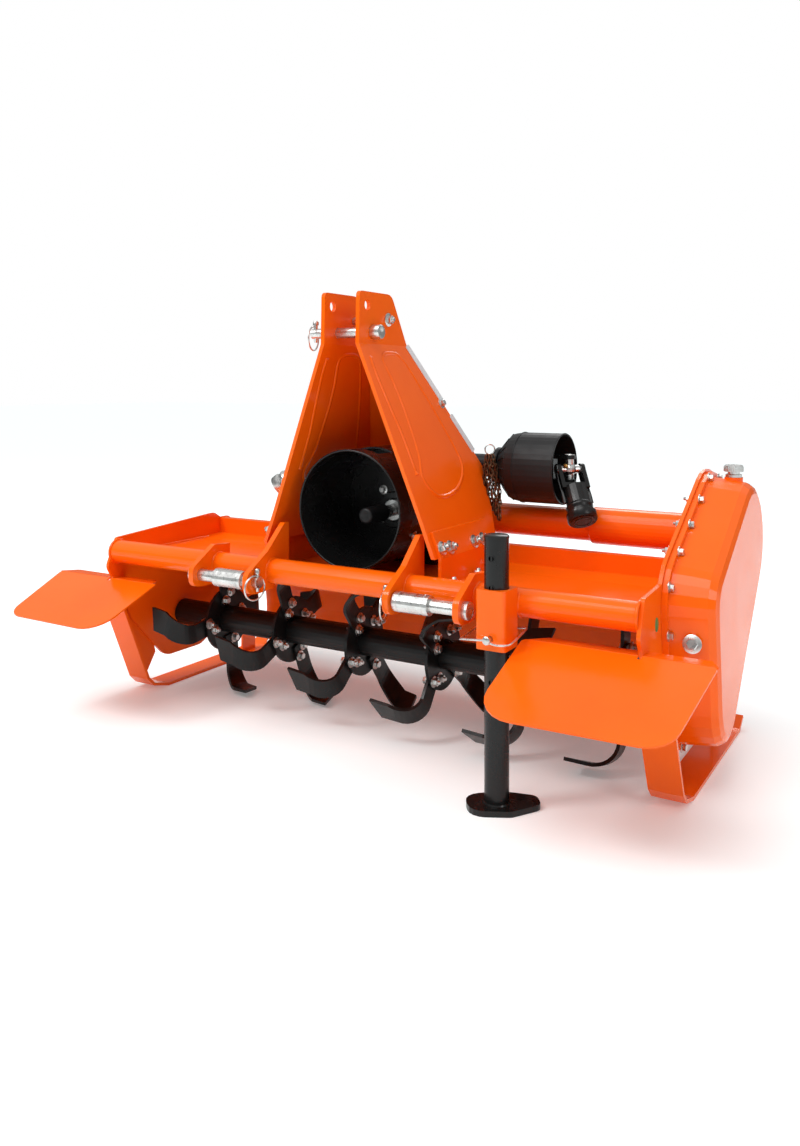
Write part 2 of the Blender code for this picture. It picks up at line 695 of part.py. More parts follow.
def make_input_shaft():
    """Input shaft, which turns in the gearbox."""
    start = CROSS_Y - BOX_D + 0.045 - GAP
    pivot = (0, INPUT_TIP_Y, INPUT_Z)
    shaft = rod_mesh((0, INPUT_TIP_Y, INPUT_Z), (0, start, INPUT_Z), INPUT_R, sides=24)
    collar = rod_mesh((0, start - 0.020, INPUT_Z), (0, start, INPUT_Z), INPUT_R * 1.7, sides=24)
    add_object("input_shaft", join(shaft, collar), "black_paint", pivot)


def make_shield():
    """Drum round the input shaft, open to the front, bolted to the gearbox through its back."""
    back = CROSS_Y - BOX_D + 0.045 - GAP
    depth = back - SHIELD_FRONT_Y
    hole_r = INPUT_R * 1.7 + 0.008
    ring = ((SHIELD_R - SHIELD_T, 0), (SHIELD_R, 0), (SHIELD_R, depth), (0.060, depth), (0.060, depth - SHIELD_T),
            (SHIELD_R - SHIELD_T, depth - SHIELD_T))
    drum = turned_mesh(ring, (0, SHIELD_FRONT_Y, SHIELD_Z), (0, 1, 0), sides=48)
    inner = plate_mesh(round_hole(0, SHIELD_Z, 0.075, 40), SHIELD_T, Matrix.Translation((0, back - SHIELD_T / 2, 0)) @ FRONT_VIEW,
                       (round_hole(0, INPUT_Z, hole_r, 24),))
    hatch = box_mesh((-0.055, SHIELD_FRONT_Y + 0.045, SHIELD_Z + SHIELD_R - 0.03), (0.055, SHIELD_FRONT_Y + 0.115, SHIELD_Z + SHIELD_R + 0.02))
    add_object("pto_shield", cut(join(drum, inner), hatch), "black_paint")


def make_cross_tube():
    start = BOX_W / 2 + GAP
    end = SIDE_X - GAP
    thin = rod_mesh((start, CROSS_Y, CROSS_Z), (SLEEVE_X + 0.01, CROSS_Y, CROSS_Z), CROSS_THIN_R, sides=32)
    wide = rod_mesh((SLEEVE_X, CROSS_Y, CROSS_Z), (end, CROSS_Y, CROSS_Z), CROSS_R, sides=32)
    flange = rod_mesh((end - 0.010, CROSS_Y, CROSS_Z), (end, CROSS_Y, CROSS_Z), CROSS_R + 0.016, sides=32)
    add_object("cross_tube", join(thin, wide, flange), "orange_paint")


# ---------------------------------------------------------------- rotor
def tine_path():
    """Middle line of a tine as (sideways, out from the axis): shank, bend and leg."""
    side = FLANGE_T / 2 + TINE_T / 2 - 0.001
    leg = math.sqrt(ROTOR_R ** 2 - (TINE_TIP_W / 2) ** 2) - TINE_T / 2 - 0.0002
    path = [(side, TINE_ROOT)]
    for k in range(9):
        turn = math.pi * (1 - k / 16)
        path.append((side + TINE_BEND_R * (1 + math.cos(turn)), leg + TINE_BEND_R * (math.sin(turn) - 1)))
    path.append((side + TINE_LEG, leg))
    return [Vector(spot) for spot in path]


def tine_mesh(x, hand, angle):
    """One tine: a flat shank on the flange's face, bent into a wider leg that trails it."""
    path = tine_path()
    last = len(path) - 1
    bm = bmesh.new()
    rows = []
    for i, spot in enumerate(path):
        run = (path[min(i + 1, last)] - path[max(i - 1, 0)]).normalized()
        normal = Vector((run.y, -run.x)) * TINE_T / 2
        bent = max(0, i - 1) / (last - 1)
        half = (TINE_W + (TINE_TIP_W - TINE_W) * min(1.0, bent * 1.4)) / 2
        trail = Matrix.Rotation(-math.radians(TINE_SWEEP_DEG) * bent ** 1.5, 4, "X")
        row = []
        for face, edge in ((1, 1), (1, -1), (-1, -1), (-1, 1)):
            point = spot + normal * face
            short = TINE_CUT if i == last and edge < 0 else 0.0
            row.append(bm.verts.new(trail @ Vector((hand * (point.x - short), half * edge, point.y))))
        rows.append(row)
    for low, high in zip(rows, rows[1:]):
        for k in range(4):
            bm.faces.new((low[k - 1], low[k], high[k], high[k - 1]))
    bm.faces.new(rows[0])
    bm.faces.new(rows[-1])
    bmesh.ops.triangulate(bm, faces=bm.faces[:])
    place = Matrix.Translation((x, ROTOR_Y, ROTOR_Z)) @ Matrix.Rotation(angle, 4, "X")
    bmesh.ops.transform(bm, matrix=place, verts=bm.verts)
    return mesh_from(bm)


def make_rotor():
    pivot = (0, ROTOR_Y, ROTOR_Z)
    reach = SIDE_X - 0.006
    stub = SIDE_X + SIDE_T - GAP
    tube = rod_mesh((-reach, ROTOR_Y, ROTOR_Z), (reach, ROTOR_Y, ROTOR_Z), ROTOR_TUBE_R, sides=24)
    axle = rod_mesh((-stub, ROTOR_Y, ROTOR_Z), (stub, ROTOR_Y, ROTOR_Z), STUB_R, sides=32)
    add_object("rotor_shaft", join(tube, axle), "black_paint", pivot)
    for k in range(FLANGE_COUNT):
        x = FLANGE_FIRST_X + k * FLANGE_PITCH
        ring = ((ROTOR_TUBE_R + GAP, 0), (FLANGE_R, 0), (FLANGE_R, FLANGE_T), (ROTOR_TUBE_R + GAP, FLANGE_T))
        flange = turned_mesh(ring, (x - FLANGE_T / 2, ROTOR_Y, ROTOR_Z), (1, 0, 0), sides=32)
        phase = math.radians(TINE_FIRST_DEG + TINE_STEP_DEG * k)
        tines = []
        for n in range(TINE_COUNT):
            hand = 1 if n % 2 and k < FLANGE_COUNT - 1 else -1
            tines.append(tine_mesh(x, hand, phase + n * 2 * math.pi / TINE_COUNT))
        add_object(f"tine_set_{k + 1}", join(flange, *tines), "black_paint", pivot)


def make_hubs():
    """Bearing hubs between the rotor shaft's ends and the side plates."""
    for side, sign in EACH_SIDE:
        if sign < 0:
            x = -(SIDE_X + SIDE_T + GAP)
            ring = ((0, 0), (HUB_R + 0.02, 0), (HUB_R + 0.02, 0.008), (HUB_R, 0.010), (HUB_R, HUB_L), (0.03, HUB_L + 0.006), (0, HUB_L + 0.006))
            hub = turned_mesh(ring, (x, ROTOR_Y, ROTOR_Z), (-1, 0, 0), sides=32)
            add_object("bearing_hub_left", hub, "orange_paint")


# ---------------------------------------------------------------- stand
def make_stand_bracket():
    """A square sleeve welded to the front of the tube: the stand slides in it."""
    half = BRACKET_W / 2
    outline = rounded(((STAND_X - half, STAND_Y - half, 0.008), (STAND_X + half, STAND_Y - half, 0.008),
                       (STAND_X + half, STAND_Y + half, 0.004), (STAND_X - half, STAND_Y + half, 0.004)))
    bore = round_hole(STAND_X, STAND_Y, STAND_R + STAND_CLEAR, 32)
    height = BRACKET_TOP_Z - BRACKET_BOTTOM_Z
    mesh = plate_mesh(outline, height, Matrix.Translation((0, 0, (BRACKET_TOP_Z + BRACKET_BOTTOM_Z) / 2)), (bore,))
    tube = rod_mesh((-1, 0, TUBE_Z), (1, 0, TUBE_Z), TUBE_R + GAP, sides=32)
    pin_hole = rod_mesh((STAND_X, -0.2, STAND_PIN_Z), (STAND_X, 0.1, STAND_PIN_Z), 0.0066, sides=12)
    add_object("stand_bracket", cut(mesh, tube, pin_hole), "orange_paint")


def make_stand():
    pivot = (STAND_X, STAND_Y, 0)
    leg = rod_mesh((STAND_X, STAND_Y, FOOT_T / 2), (STAND_X, STAND_Y, STAND_TOP_Z), STAND_R, sides=32)
    outline = rounded(((-0.062, -0.040, 0.036), (0.020, -0.050, 0.020), (0.088, -0.020, 0.020), (0.088, 0.024, 0.020),
                       (0.020, 0.050, 0.020), (-0.062, 0.040, 0.036)), steps=4)
    place = Matrix.Translation((STAND_X, STAND_Y, FOOT_T / 2)) @ Matrix.Rotation(math.radians(35), 4, "Z")
    foot = plate_mesh(outline, FOOT_T, place)
    add_object("parking_stand", join(leg, foot), "black_paint", pivot)


# ---------------------------------------------------------------- tailgate
def make_tailgate():
    """The levelling board: hinge barrel, sheet and a rolled lower edge."""
    pivot = (0, HINGE_Y, HINGE_Z)
    barrel = rod_mesh((-SIDE_X + GAP, HINGE_Y, HINGE_Z), (SIDE_X - GAP, HINGE_Y, HINGE_Z), HINGE_R, sides=16)
    lean = math.radians(12)
    steps = ((0.0, 0.0), (0.25, 0.010), (0.5, 0.014), (0.75, 0.010), (1.0, 0.0))
    profile = []
    for share, bow in steps:
        run = GATE_LEN * share
        profile.append((HINGE_Y + run * math.sin(lean) + bow * math.cos(lean), HINGE_Z - run * math.cos(lean) + bow * math.sin(lean)))
    sheet = sheet_mesh(profile, -SIDE_X + 0.006, SIDE_X - 0.006, GATE_T, outward=0)
    add_object("tailgate", join(barrel, sheet), "orange_paint", pivot)


# ---------------------------------------------------------------- stowed drive shaft
def yoke_mesh(centre, hub_way, pin_way, length, ear_length):
    """Two ears on the pin's line, a shoulder that joins them, and a hub along hub_way."""
    along = Vector(hub_way).normalized()
    across = Vector(pin_way)
    across = (across - along * across.dot(along)).normalized()
    third = along.cross(across)
    place = Matrix.Translation(centre) @ Matrix((across, third, along)).transposed().to_4x4()
    shoulder = box_mesh((-EAR_IN - EAR_T, -EAR_R, ear_length - 0.014), (EAR_IN + EAR_T, EAR_R, ear_length))
    pieces = [rod_mesh((0, 0, ear_length - 0.004), (0, 0, length), YOKE_R, sides=24)]
    for side in (-1, 1):
        low, high = sorted((side * EAR_IN, side * (EAR_IN + EAR_T)))
        pieces.append(box_mesh((low, -EAR_R, 0), (high, EAR_R, ear_length - 0.007)))
        pieces.append(rod_mesh((low, 0, 0), (high, 0, 0), EAR_R, sides=24))
    mesh = join(shoulder, *pieces)
    mesh.transform(place)
    return mesh


def cross_mesh(centre, pin_way, other_way):
    """The joint's cross: two crossed pins that end just inside the ears."""
    reach = EAR_IN - GAP
    bars = []
    for way in (Vector(pin_way).normalized(), Vector(other_way).normalized()):
        bars.append(rod_mesh(centre - way * reach, centre + way * reach, 0.0105, sides=16))
    hub = bmesh.new()
    bmesh.ops.create_uvsphere(hub, u_segments=16, v_segments=10, radius=0.0165)
    bmesh.ops.translate(hub, verts=hub.verts, vec=centre)
    return join(mesh_from(hub), *bars)


def make_drive_shaft():
    """Guard tube with a bell at each end. In each bell a joint carries a loose end yoke."""
    guard = rod_mesh((STOW_LEFT_X, STOW_Y, STOW_Z), (STOW_RIGHT_X, STOW_Y, STOW_Z), STOW_TUBE_R, sides=24)
    add_object("drive_shaft_guard", guard, "black_plastic")
    for side, sign, x in (("left", -1, STOW_LEFT_X), ("right", 1, STOW_RIGHT_X)):
        start = x + sign * GAP
        floor = 0.014
        bell = ((0, 0), (0.046, 0), (0.060, 0.012), (BELL_R - 0.004, 0.036), (BELL_R, 0.060), (BELL_R, BELL_L),
                (BELL_R - BELL_T, BELL_L), (BELL_R - BELL_T, 0.061), (BELL_R - BELL_T - 0.004, 0.040),
                (0.058, floor + 0.004), (0.045, floor), (0, floor))
        mesh = turned_mesh(bell, (start, STOW_Y, STOW_Z), (sign, 0, 0), sides=40)
        add_object(f"drive_shaft_bell_{side}", mesh, "black_plastic")
        centre = Vector((x + sign * CROSS_REACH, STOW_Y, STOW_Z))
        inner_length = CROSS_REACH - floor - 2 * GAP
        inner = yoke_mesh(centre, (-sign, 0, 0), (0, 0, 1), inner_length, 0.052)
        add_object(f"drive_shaft_yoke_{side}", inner, "black_paint")
        hang = Vector(END_YOKES[side])
        pin = hang.cross(Vector((0, 0, 1)))
        add_object(f"drive_shaft_cross_{side}", cross_mesh(centre, (0, 0, 1), pin), "zinc")
        add_object(f"drive_shaft_end_{side}", yoke_mesh(centre, hang, pin, YOKE_L, 0.060), "black_paint")


def centre_on_floor():
    """Moves the whole machine so that the middle of its outline lies on the origin."""
    bpy.context.view_layer.update()
    low, high = Vector((9, 9)), Vector((-9, -9))
    for thing in PARTS.objects:
        if thing.type != "MESH":
            continue
        for vert in thing.data.vertices:
            spot = thing.matrix_world @ vert.co
            low = Vector((min(low.x, spot.x), min(low.y, spot.y)))
            high = Vector((max(high.x, spot.x), max(high.y, spot.y)))
    ROOT.location = (-(low.x + high.x) / 2, -(low.y + high.y) / 2, 0)


def main():
    make_front_tube()
    make_deck()
    make_rear_beam()
    make_hood()
    make_side_plates()
    make_gear_case()
    make_filler_cap()
    make_skids()
    make_deflectors()
    make_mast_plates()
    make_mast_back()
    make_mast_feet()
    make_lugs()
    make_pins()
    make_gearbox()
    make_input_shaft()
    make_shield()
    make_cross_tube()
    make_rotor()
    make_hubs()
    make_stand_bracket()
    make_stand()
    make_tailgate()
    make_drive_shaft()
    centre_on_floor()


main()
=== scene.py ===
"""Rotary tiller: materials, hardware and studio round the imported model."""
import math
import random

import bmesh
import bpy
from mathutils import Matrix, Vector


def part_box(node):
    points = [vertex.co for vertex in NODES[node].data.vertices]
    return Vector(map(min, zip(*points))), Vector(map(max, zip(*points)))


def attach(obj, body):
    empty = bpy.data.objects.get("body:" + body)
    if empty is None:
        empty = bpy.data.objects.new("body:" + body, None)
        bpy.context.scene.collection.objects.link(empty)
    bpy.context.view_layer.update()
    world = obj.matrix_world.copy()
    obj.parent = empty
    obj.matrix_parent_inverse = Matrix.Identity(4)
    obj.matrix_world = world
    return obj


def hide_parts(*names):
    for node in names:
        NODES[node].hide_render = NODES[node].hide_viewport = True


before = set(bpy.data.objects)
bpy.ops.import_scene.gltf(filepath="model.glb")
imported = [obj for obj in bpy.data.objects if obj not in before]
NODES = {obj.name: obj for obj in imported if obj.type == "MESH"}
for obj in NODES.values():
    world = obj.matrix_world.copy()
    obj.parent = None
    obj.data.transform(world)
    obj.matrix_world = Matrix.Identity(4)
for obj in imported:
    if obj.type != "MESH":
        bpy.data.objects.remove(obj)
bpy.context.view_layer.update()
random.seed(7)


def middle(node):
    low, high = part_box(node)
    return (Vector(low) + Vector(high)) / 2


TUBE = middle("front_tube")


def at(x, y, z):
    """A point given from the middle of the front tube, with z from the floor."""
    return Vector((x + TUBE.x, y + TUBE.y, z))


# ------------------------------------------------------------------ materials
def new_material(name):
    material = bpy.data.materials.new(name)
    material.use_nodes = True
    tree = material.node_tree
    return material, tree, tree.nodes["Principled BSDF"]


def noise(tree, coords, scale, detail=4.0, rough=0.55):
    node = tree.nodes.new("ShaderNodeTexNoise")
    node.inputs["Scale"].default_value = scale
    node.inputs["Detail"].default_value = detail
    node.inputs["Roughness"].default_value = rough
    tree.links.new(coords, node.inputs["Vector"])
    return node.outputs["Fac"]


def ramp(tree, value, stops):
    node = tree.nodes.new("ShaderNodeValToRGB")
    points = node.color_ramp.elements
    while len(points) < len(stops):
        points.new(0.5)
    for point, (place, colour) in zip(points, stops):
        point.position = place
        point.color = colour
    tree.links.new(value, node.inputs["Fac"])
    return node.outputs["Color"]


def grey(value):
    return (value, value, value, 1.0)


def surface(name, colour, dark, rough, metal=0.0, grain=900.0, bump=0.02, coat=0.0, patches=5.0, wear=None,
            gloss_level=0.5):
    """Paint, plastic or metal: patchy colour and gloss, fine grain, and dust or scuffs."""
    material, tree, shader = new_material(name)
    coords = tree.nodes.new("ShaderNodeTexCoord").outputs["Object"]
    cloud = noise(tree, coords, patches, 5.0, 0.6)
    tone = ramp(tree, cloud, ((0.30, dark), (0.62, colour)))
    if wear:
        scuff_colour, low, high, scale = wear
        scuffs = ramp(tree, noise(tree, coords, scale, 8.0, 0.72), ((low, grey(0.0)), (high, grey(1.0))))
        mix = tree.nodes.new("ShaderNodeMix")
        mix.data_type = "RGBA"
        tree.links.new(scuffs, mix.inputs["Factor"])
        tree.links.new(tone, mix.inputs["A"])
        mix.inputs["B"].default_value = scuff_colour
        tone = mix.outputs["Result"]
    tree.links.new(tone, shader.inputs["Base Color"])
    sheen = noise(tree, coords, patches * 3.1, 4.0)
    gloss = ramp(tree, sheen, ((0.30, grey(rough[0])), (0.70, grey(rough[1]))))
    tree.links.new(gloss, shader.inputs["Roughness"])
    shader.inputs["Metallic"].default_value = metal
    shader.inputs["Specular IOR Level"].default_value = gloss_level
    if coat:
        shader.inputs["Coat Weight"].default_value = coat
        shader.inputs["Coat Roughness"].default_value = 0.08
    relief = tree.nodes.new("ShaderNodeBump")
    relief.inputs["Strength"].default_value = bump
    relief.inputs["Distance"].default_value = 0.001
    tree.links.new(noise(tree, coords, grain, 3.0), relief.inputs["Height"])
    tree.links.new(relief.outputs["Normal"], shader.inputs["Normal"])
    return material


ORANGE = surface("orange_enamel", (0.97, 0.138, 0.0025, 1), (0.92, 0.118, 0.002, 1), (0.16, 0.26),
                 grain=420.0, bump=0.10, coat=0.12, patches=3.0, gloss_level=0.22,
                 wear=((0.80, 0.13, 0.015, 1), 0.70, 0.86, 26.0))
BLACK = surface("black_enamel", (0.007, 0.007, 0.007, 1), (0.005, 0.005, 0.005, 1), (0.20, 0.34),
                grain=500.0, bump=0.12, patches=6.0, gloss_level=0.34,
                wear=((0.035, 0.033, 0.031, 1), 0.68, 0.88, 30.0))
TINE = surface("tine_black", (0.008, 0.008, 0.008, 1), (0.005, 0.005, 0.005, 1), (0.26, 0.44),
               grain=380.0, bump=0.18, patches=8.0, gloss_level=0.28,
               wear=((0.035, 0.032, 0.030, 1), 0.64, 0.84, 36.0))
PLASTIC = surface("black_plastic", (0.009, 0.009, 0.0095, 1), (0.006, 0.006, 0.0065, 1), (0.36, 0.52),
                  grain=1500.0, bump=0.10, patches=9.0, gloss_level=0.34)
ZINC = surface("bright_zinc", (0.74, 0.74, 0.72, 1), (0.56, 0.56, 0.55, 1), (0.22, 0.40), metal=1.0,
               grain=700.0, bump=0.06, patches=30.0)
STEEL = surface("machined_steel", (0.50, 0.50, 0.49, 1), (0.36, 0.36, 0.36, 1), (0.20, 0.34), metal=1.0,
                grain=900.0, bump=0.05, patches=24.0)
BRASS = surface("brass", (0.55, 0.33, 0.10, 1), (0.42, 0.24, 0.07, 1), (0.28, 0.42), metal=1.0,
                grain=900.0, patches=24.0)
CHAIN = surface("bronzed_chain", (0.20, 0.11, 0.06, 1), (0.12, 0.07, 0.04, 1), (0.34, 0.50), metal=1.0,
                grain=900.0, patches=40.0)
GREEN = surface("green_sticker", (0.02, 0.24, 0.07, 1), (0.018, 0.20, 0.06, 1), (0.30, 0.40),
                grain=1500.0, patches=20.0)
WHITE = surface("pale_sticker", (0.72, 0.73, 0.74, 1), (0.66, 0.67, 0.68, 1), (0.35, 0.45),
                grain=1500.0, patches=20.0)


# ------------------------------------------------------------------ mesh helpers
def finish_piece(name, bm, material, body, smooth=40):
    bmesh.ops.recalc_face_normals(bm, faces=bm.faces)
    mesh = bpy.data.meshes.new(name)
    bm.to_mesh(mesh)
    bm.free()
    mesh.materials.append(material)
    mesh.shade_smooth()
    mesh.set_sharp_from_angle(angle=math.radians(smooth))
    piece = bpy.data.objects.new(name, mesh)
    bpy.context.scene.collection.objects.link(piece)
    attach(piece, body)
    return piece


def along(direction):
    return Vector(direction).normalized().to_track_quat("Z", "Y").to_matrix().to_4x4()


def add_turned(bm, profile, start, direction, sides=24, spin=0.0):
    """A closed profile of (radius, distance) turned about a line."""
    place = Matrix.Translation(start) @ along(direction) @ Matrix.Rotation(spin, 4, "Z")
    rings = []
    for radius, reach in profile:
        if radius < 1e-6:
            rings.append([bm.verts.new(place @ Vector((0, 0, reach)))])
        else:
            rings.append([bm.verts.new(place @ Vector((radius * math.cos(2 * math.pi * k / sides),
                                                       radius * math.sin(2 * math.pi * k / sides), reach)))
                          for k in range(sides)])
    for low, high in zip(rings, rings[1:]):
        for k in range(sides):
            a, b = low[k % len(low)], low[(k + 1) % len(low)]
            c, d = high[(k + 1) % len(high)], high[k % len(high)]
            corner = [v for i, v in enumerate((a, b, c, d)) if v not in (a, b, c, d)[:i]]
            if len(corner) > 2:
                bm.faces.new(corner)
    for ring in (rings[0], rings[-1]):
        if len(ring) > 2:
            bm.faces.new(ring)


def add_bolt(bm, spot, direction, flats=0.013, tail=0.0):
    """A washer and a chamfered hexagon head, with an optional threaded end."""
    spin = random.uniform(0, math.pi / 3)
    radius = flats / math.sqrt(3)
    base = flats * 0.12
    height = flats * 0.62
    washer = ((radius * 1.5, -0.0004), (radius * 1.5, base * 0.8), (radius * 1.42, base))
    add_turned(bm, washer, spot, direction, 20)
    add_turned(bm, ((radius * 0.97, base), (radius, base + height * 0.08), (radius, base + height * 0.86),
                    (radius * 0.86, base + height)), spot, direction, 6, spin)
    if tail:
        thread = flats * 0.30
        profile = [(thread, base + height - 0.001)]
        turns = max(2, int(tail / 0.0016))
        for k in range(turns):
            step = base + height + tail * k / turns
            profile += [(thread, step), (thread * 0.88, step + tail / turns * 0.5)]
        profile.append((thread * 0.8, base + height + tail))
        add_turned(bm, profile, spot, direction, 12)


def bolts(name, spots, flats, tail=0.0):
    """One piece of zinc bolts, from (place, direction) pairs."""
    bm = bmesh.new()
    for spot, direction in spots:
        add_bolt(bm, spot, direction, flats, tail)
    finish_piece(name, bm, ZINC, "frame", smooth=30)


def add_tube(bm, points, radius, sides=8, closed=False):
    """A round wire through points, made ring by ring."""
    points = [Vector(p) for p in points]
    count = len(points)
    rings = []
    normal = None
    for i, point in enumerate(points):
        before = points[i - 1] if (i or closed) else point
        after = points[(i + 1) % count] if (i < count - 1 or closed) else point
        run = (after - before).normalized()
        if normal is None:
            normal = run.orthogonal().normalized()
        normal = (normal - run * normal.dot(run)).normalized()
        side = run.cross(normal)
        rings.append([bm.verts.new(point + (normal * math.cos(2 * math.pi * k / sides)
                                            + side * math.sin(2 * math.pi * k / sides)) * radius)
                      for k in range(sides)])
    pairs = list(zip(rings, rings[1:])) + ([(rings[-1], rings[0])] if closed else [])
    for low, high in pairs:
        best = 0
        if closed and low is rings[-1]:
            best = min(range(sides), key=lambda k: (low[0].co - high[k].co).length)
        for k in range(sides):
            after = (k + 1) % sides
            bm.faces.new((low[k], low[after], high[(k + 1 + best) % sides], high[(k + best) % sides]))
    if not closed:
        bm.faces.new(rings[0])
        bm.faces.new(rings[-1])


def ring_points(centre, axis, radius, count):
    """Evenly spaced points on a circle."""
    turn = along(axis)
    points = []
    for k in range(count):
        angle = 2 * math.pi * k / count
        points.append(Vector(centre) + turn @ Vector((radius * math.cos(angle), radius * math.sin(angle), 0)))
    return points


def arc(x, centre, radius, angles):
    """Points on a circle across the machine, at angles in degrees."""
    turns = [math.radians(angle) for angle in angles]
    return [at(x, centre[0] + radius * math.cos(a), centre[1] + radius * math.sin(a)) for a in turns]


# ------------------------------------------------------------------ the CAD nodes' own materials
def paint_nodes():
    zinc = ("filler_cap", "lower_pin", "pin_sleeve", "top_link_pin", "drive_shaft_cross",
            "drive_shaft_end_left")
    plastic = ("drive_shaft_guard", "drive_shaft_bell")
    black = ("gearbox", "pto_shield", "input_shaft", "parking_stand", "drive_shaft_yoke",
             "drive_shaft_end_right")
    tines = ("tine_set", "rotor_shaft")
    for name, node in NODES.items():
        choice = ORANGE
        for material, group in ((ZINC, zinc), (PLASTIC, plastic), (BLACK, black), (TINE, tines)):
            if name.startswith(group):
                choice = material
        node.data.materials.clear()
        node.data.materials.append(choice)
        node.data.shade_smooth()
        node.data.set_sharp_from_angle(angle=math.radians(34))


# ------------------------------------------------------------------ hardware
# Places as at() takes them: x from the machine's middle, y from the front tube's line, z from the floor.
SIDE_FACE = 0.724                   # outer faces of the side plates
TUBE_Z = 0.409                      # front tube
TUBE_WELD_R = 0.0302                # bead round the front tube
ROTOR = (0.250, 0.197)              # y, z of the rotor's axis
CROSS = (0.500, 0.505)              # y, z of the cross tube
STOW = (0.462, 0.647)               # y, z of the stowed drive shaft
INPUT_Z = 0.540                     # input shaft
SHIELD_Z = 0.563                    # drum round the input shaft
STAND = (0.437, -0.0625)            # x, y of the parking stand
LUG_FACES = (0.199, 0.185, 0.354, 0.368)        # x of the hitch lugs' faces
MAST_FACE_X = 0.054                 # mast plate's outer face above its bend
MAST_BEND_Z = 0.957
MAST_SPLAY = 0.386                  # sideways run of the mast plate for each metre below the bend
MAST_BOLT = (0.143, 1.018)          # y, z of the bolt and spacer across the mast's tabs
EACH_SIDE = (("left", -1), ("right", 1))


def soften_edges():
    """Small rounded edges on the sheet, plate and cast pieces."""
    for name, node in NODES.items():
        if name.startswith(("pto_shield", "drive_shaft_bell", "rotor_shaft", "front_tube")):
            continue
        bevel = node.modifiers.new("edges", "BEVEL")
        bevel.width = 0.0011
        bevel.segments = 2
        bevel.limit_method = "ANGLE"
        bevel.angle_limit = math.radians(38)


def case_outline(inset, step=6):
    """Points round the gear case, drawn in from the wall by inset: taut round its three discs."""
    discs = ((0.250, 0.197, 0.105), (0.510, 0.493, 0.148), (0.215, 0.400, 0.095))     # columns: y, z, radius
    headings = []
    for i, (ax, ay, ar) in enumerate(discs):
        bx, by, br = discs[(i + 1) % 3]
        run = Vector((bx - ax, by - ay))
        headings.append(math.atan2(run.y, run.x) - math.pi / 2 + math.asin((ar - br) / run.length))
    points = []
    for i, (y, z, radius) in enumerate(discs):
        begin, end = headings[i - 1], headings[i]
        while end < begin:
            end += 2 * math.pi
        steps = max(1, round(math.degrees(end - begin) / step))
        for k in range(steps + 1):
            angle = begin + (end - begin) * k / steps
            reach = radius - inset
            points.append(Vector((y + reach * math.cos(angle), z + reach * math.sin(angle))))
    return points


def spaced(points, count, start=0.0):
    """Evenly spaced spots round a closed outline."""
    runs = [(points[(i + 1) % len(points)] - p).length for i, p in enumerate(points)]
    total = sum(runs)
    spots = []
    for k in range(count):
        target = (start + k / count) % 1.0 * total
        i = 0
        while target > runs[i]:
            target -= runs[i]
            i += 1
        spots.append(points[i].lerp(points[(i + 1) % len(points)], target / max(runs[i], 1e-9)))
    return spots


def gear_case_hardware():
    lip = SIDE_FACE + 0.0123
    spots = spaced(case_outline(-0.0055), 17, 0.02)
    bolts("gear_case_bolts", [(at(lip, p.x, p.y), (1, 0, 0)) for p in spots], flats=0.0135)
    tails = [(at(SIDE_FACE - 0.008, p.x, p.y), (-1, 0, 0)) for p in spots if p.y > 0.47 and 0.2 < p.x < 0.44]
    bolts("gear_case_nuts", tails, flats=0.013, tail=0.006)
    big = [(at(0.783, 0.122, 0.338), (0.15, -0.95, 0.25)), (at(0.780, 0.585, 0.365), (0.1, 0.75, -0.65))]
    bolts("oil_plugs", big, flats=0.022)
    bm = bmesh.new()
    mid = middle("filler_cap")
    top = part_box("filler_cap")[1][2]
    grips = 28
    for k in range(grips):
        a = 2 * math.pi * k / grips
        out = Vector((math.cos(a), math.sin(a), 0)) * 0.0216
        add_tube(bm, [Vector((mid.x, mid.y, top - depth)) + out for depth in (0.0155, 0.0045)], 0.0012, 5)
    finish_piece("filler_cap_grip", bm, ZINC, "frame")


def mast_outer(z, extra=0.0):
    """x of the mast plate's outer face at a height."""
    return MAST_FACE_X + max(0.0, MAST_BEND_Z - z) * MAST_SPLAY + extra


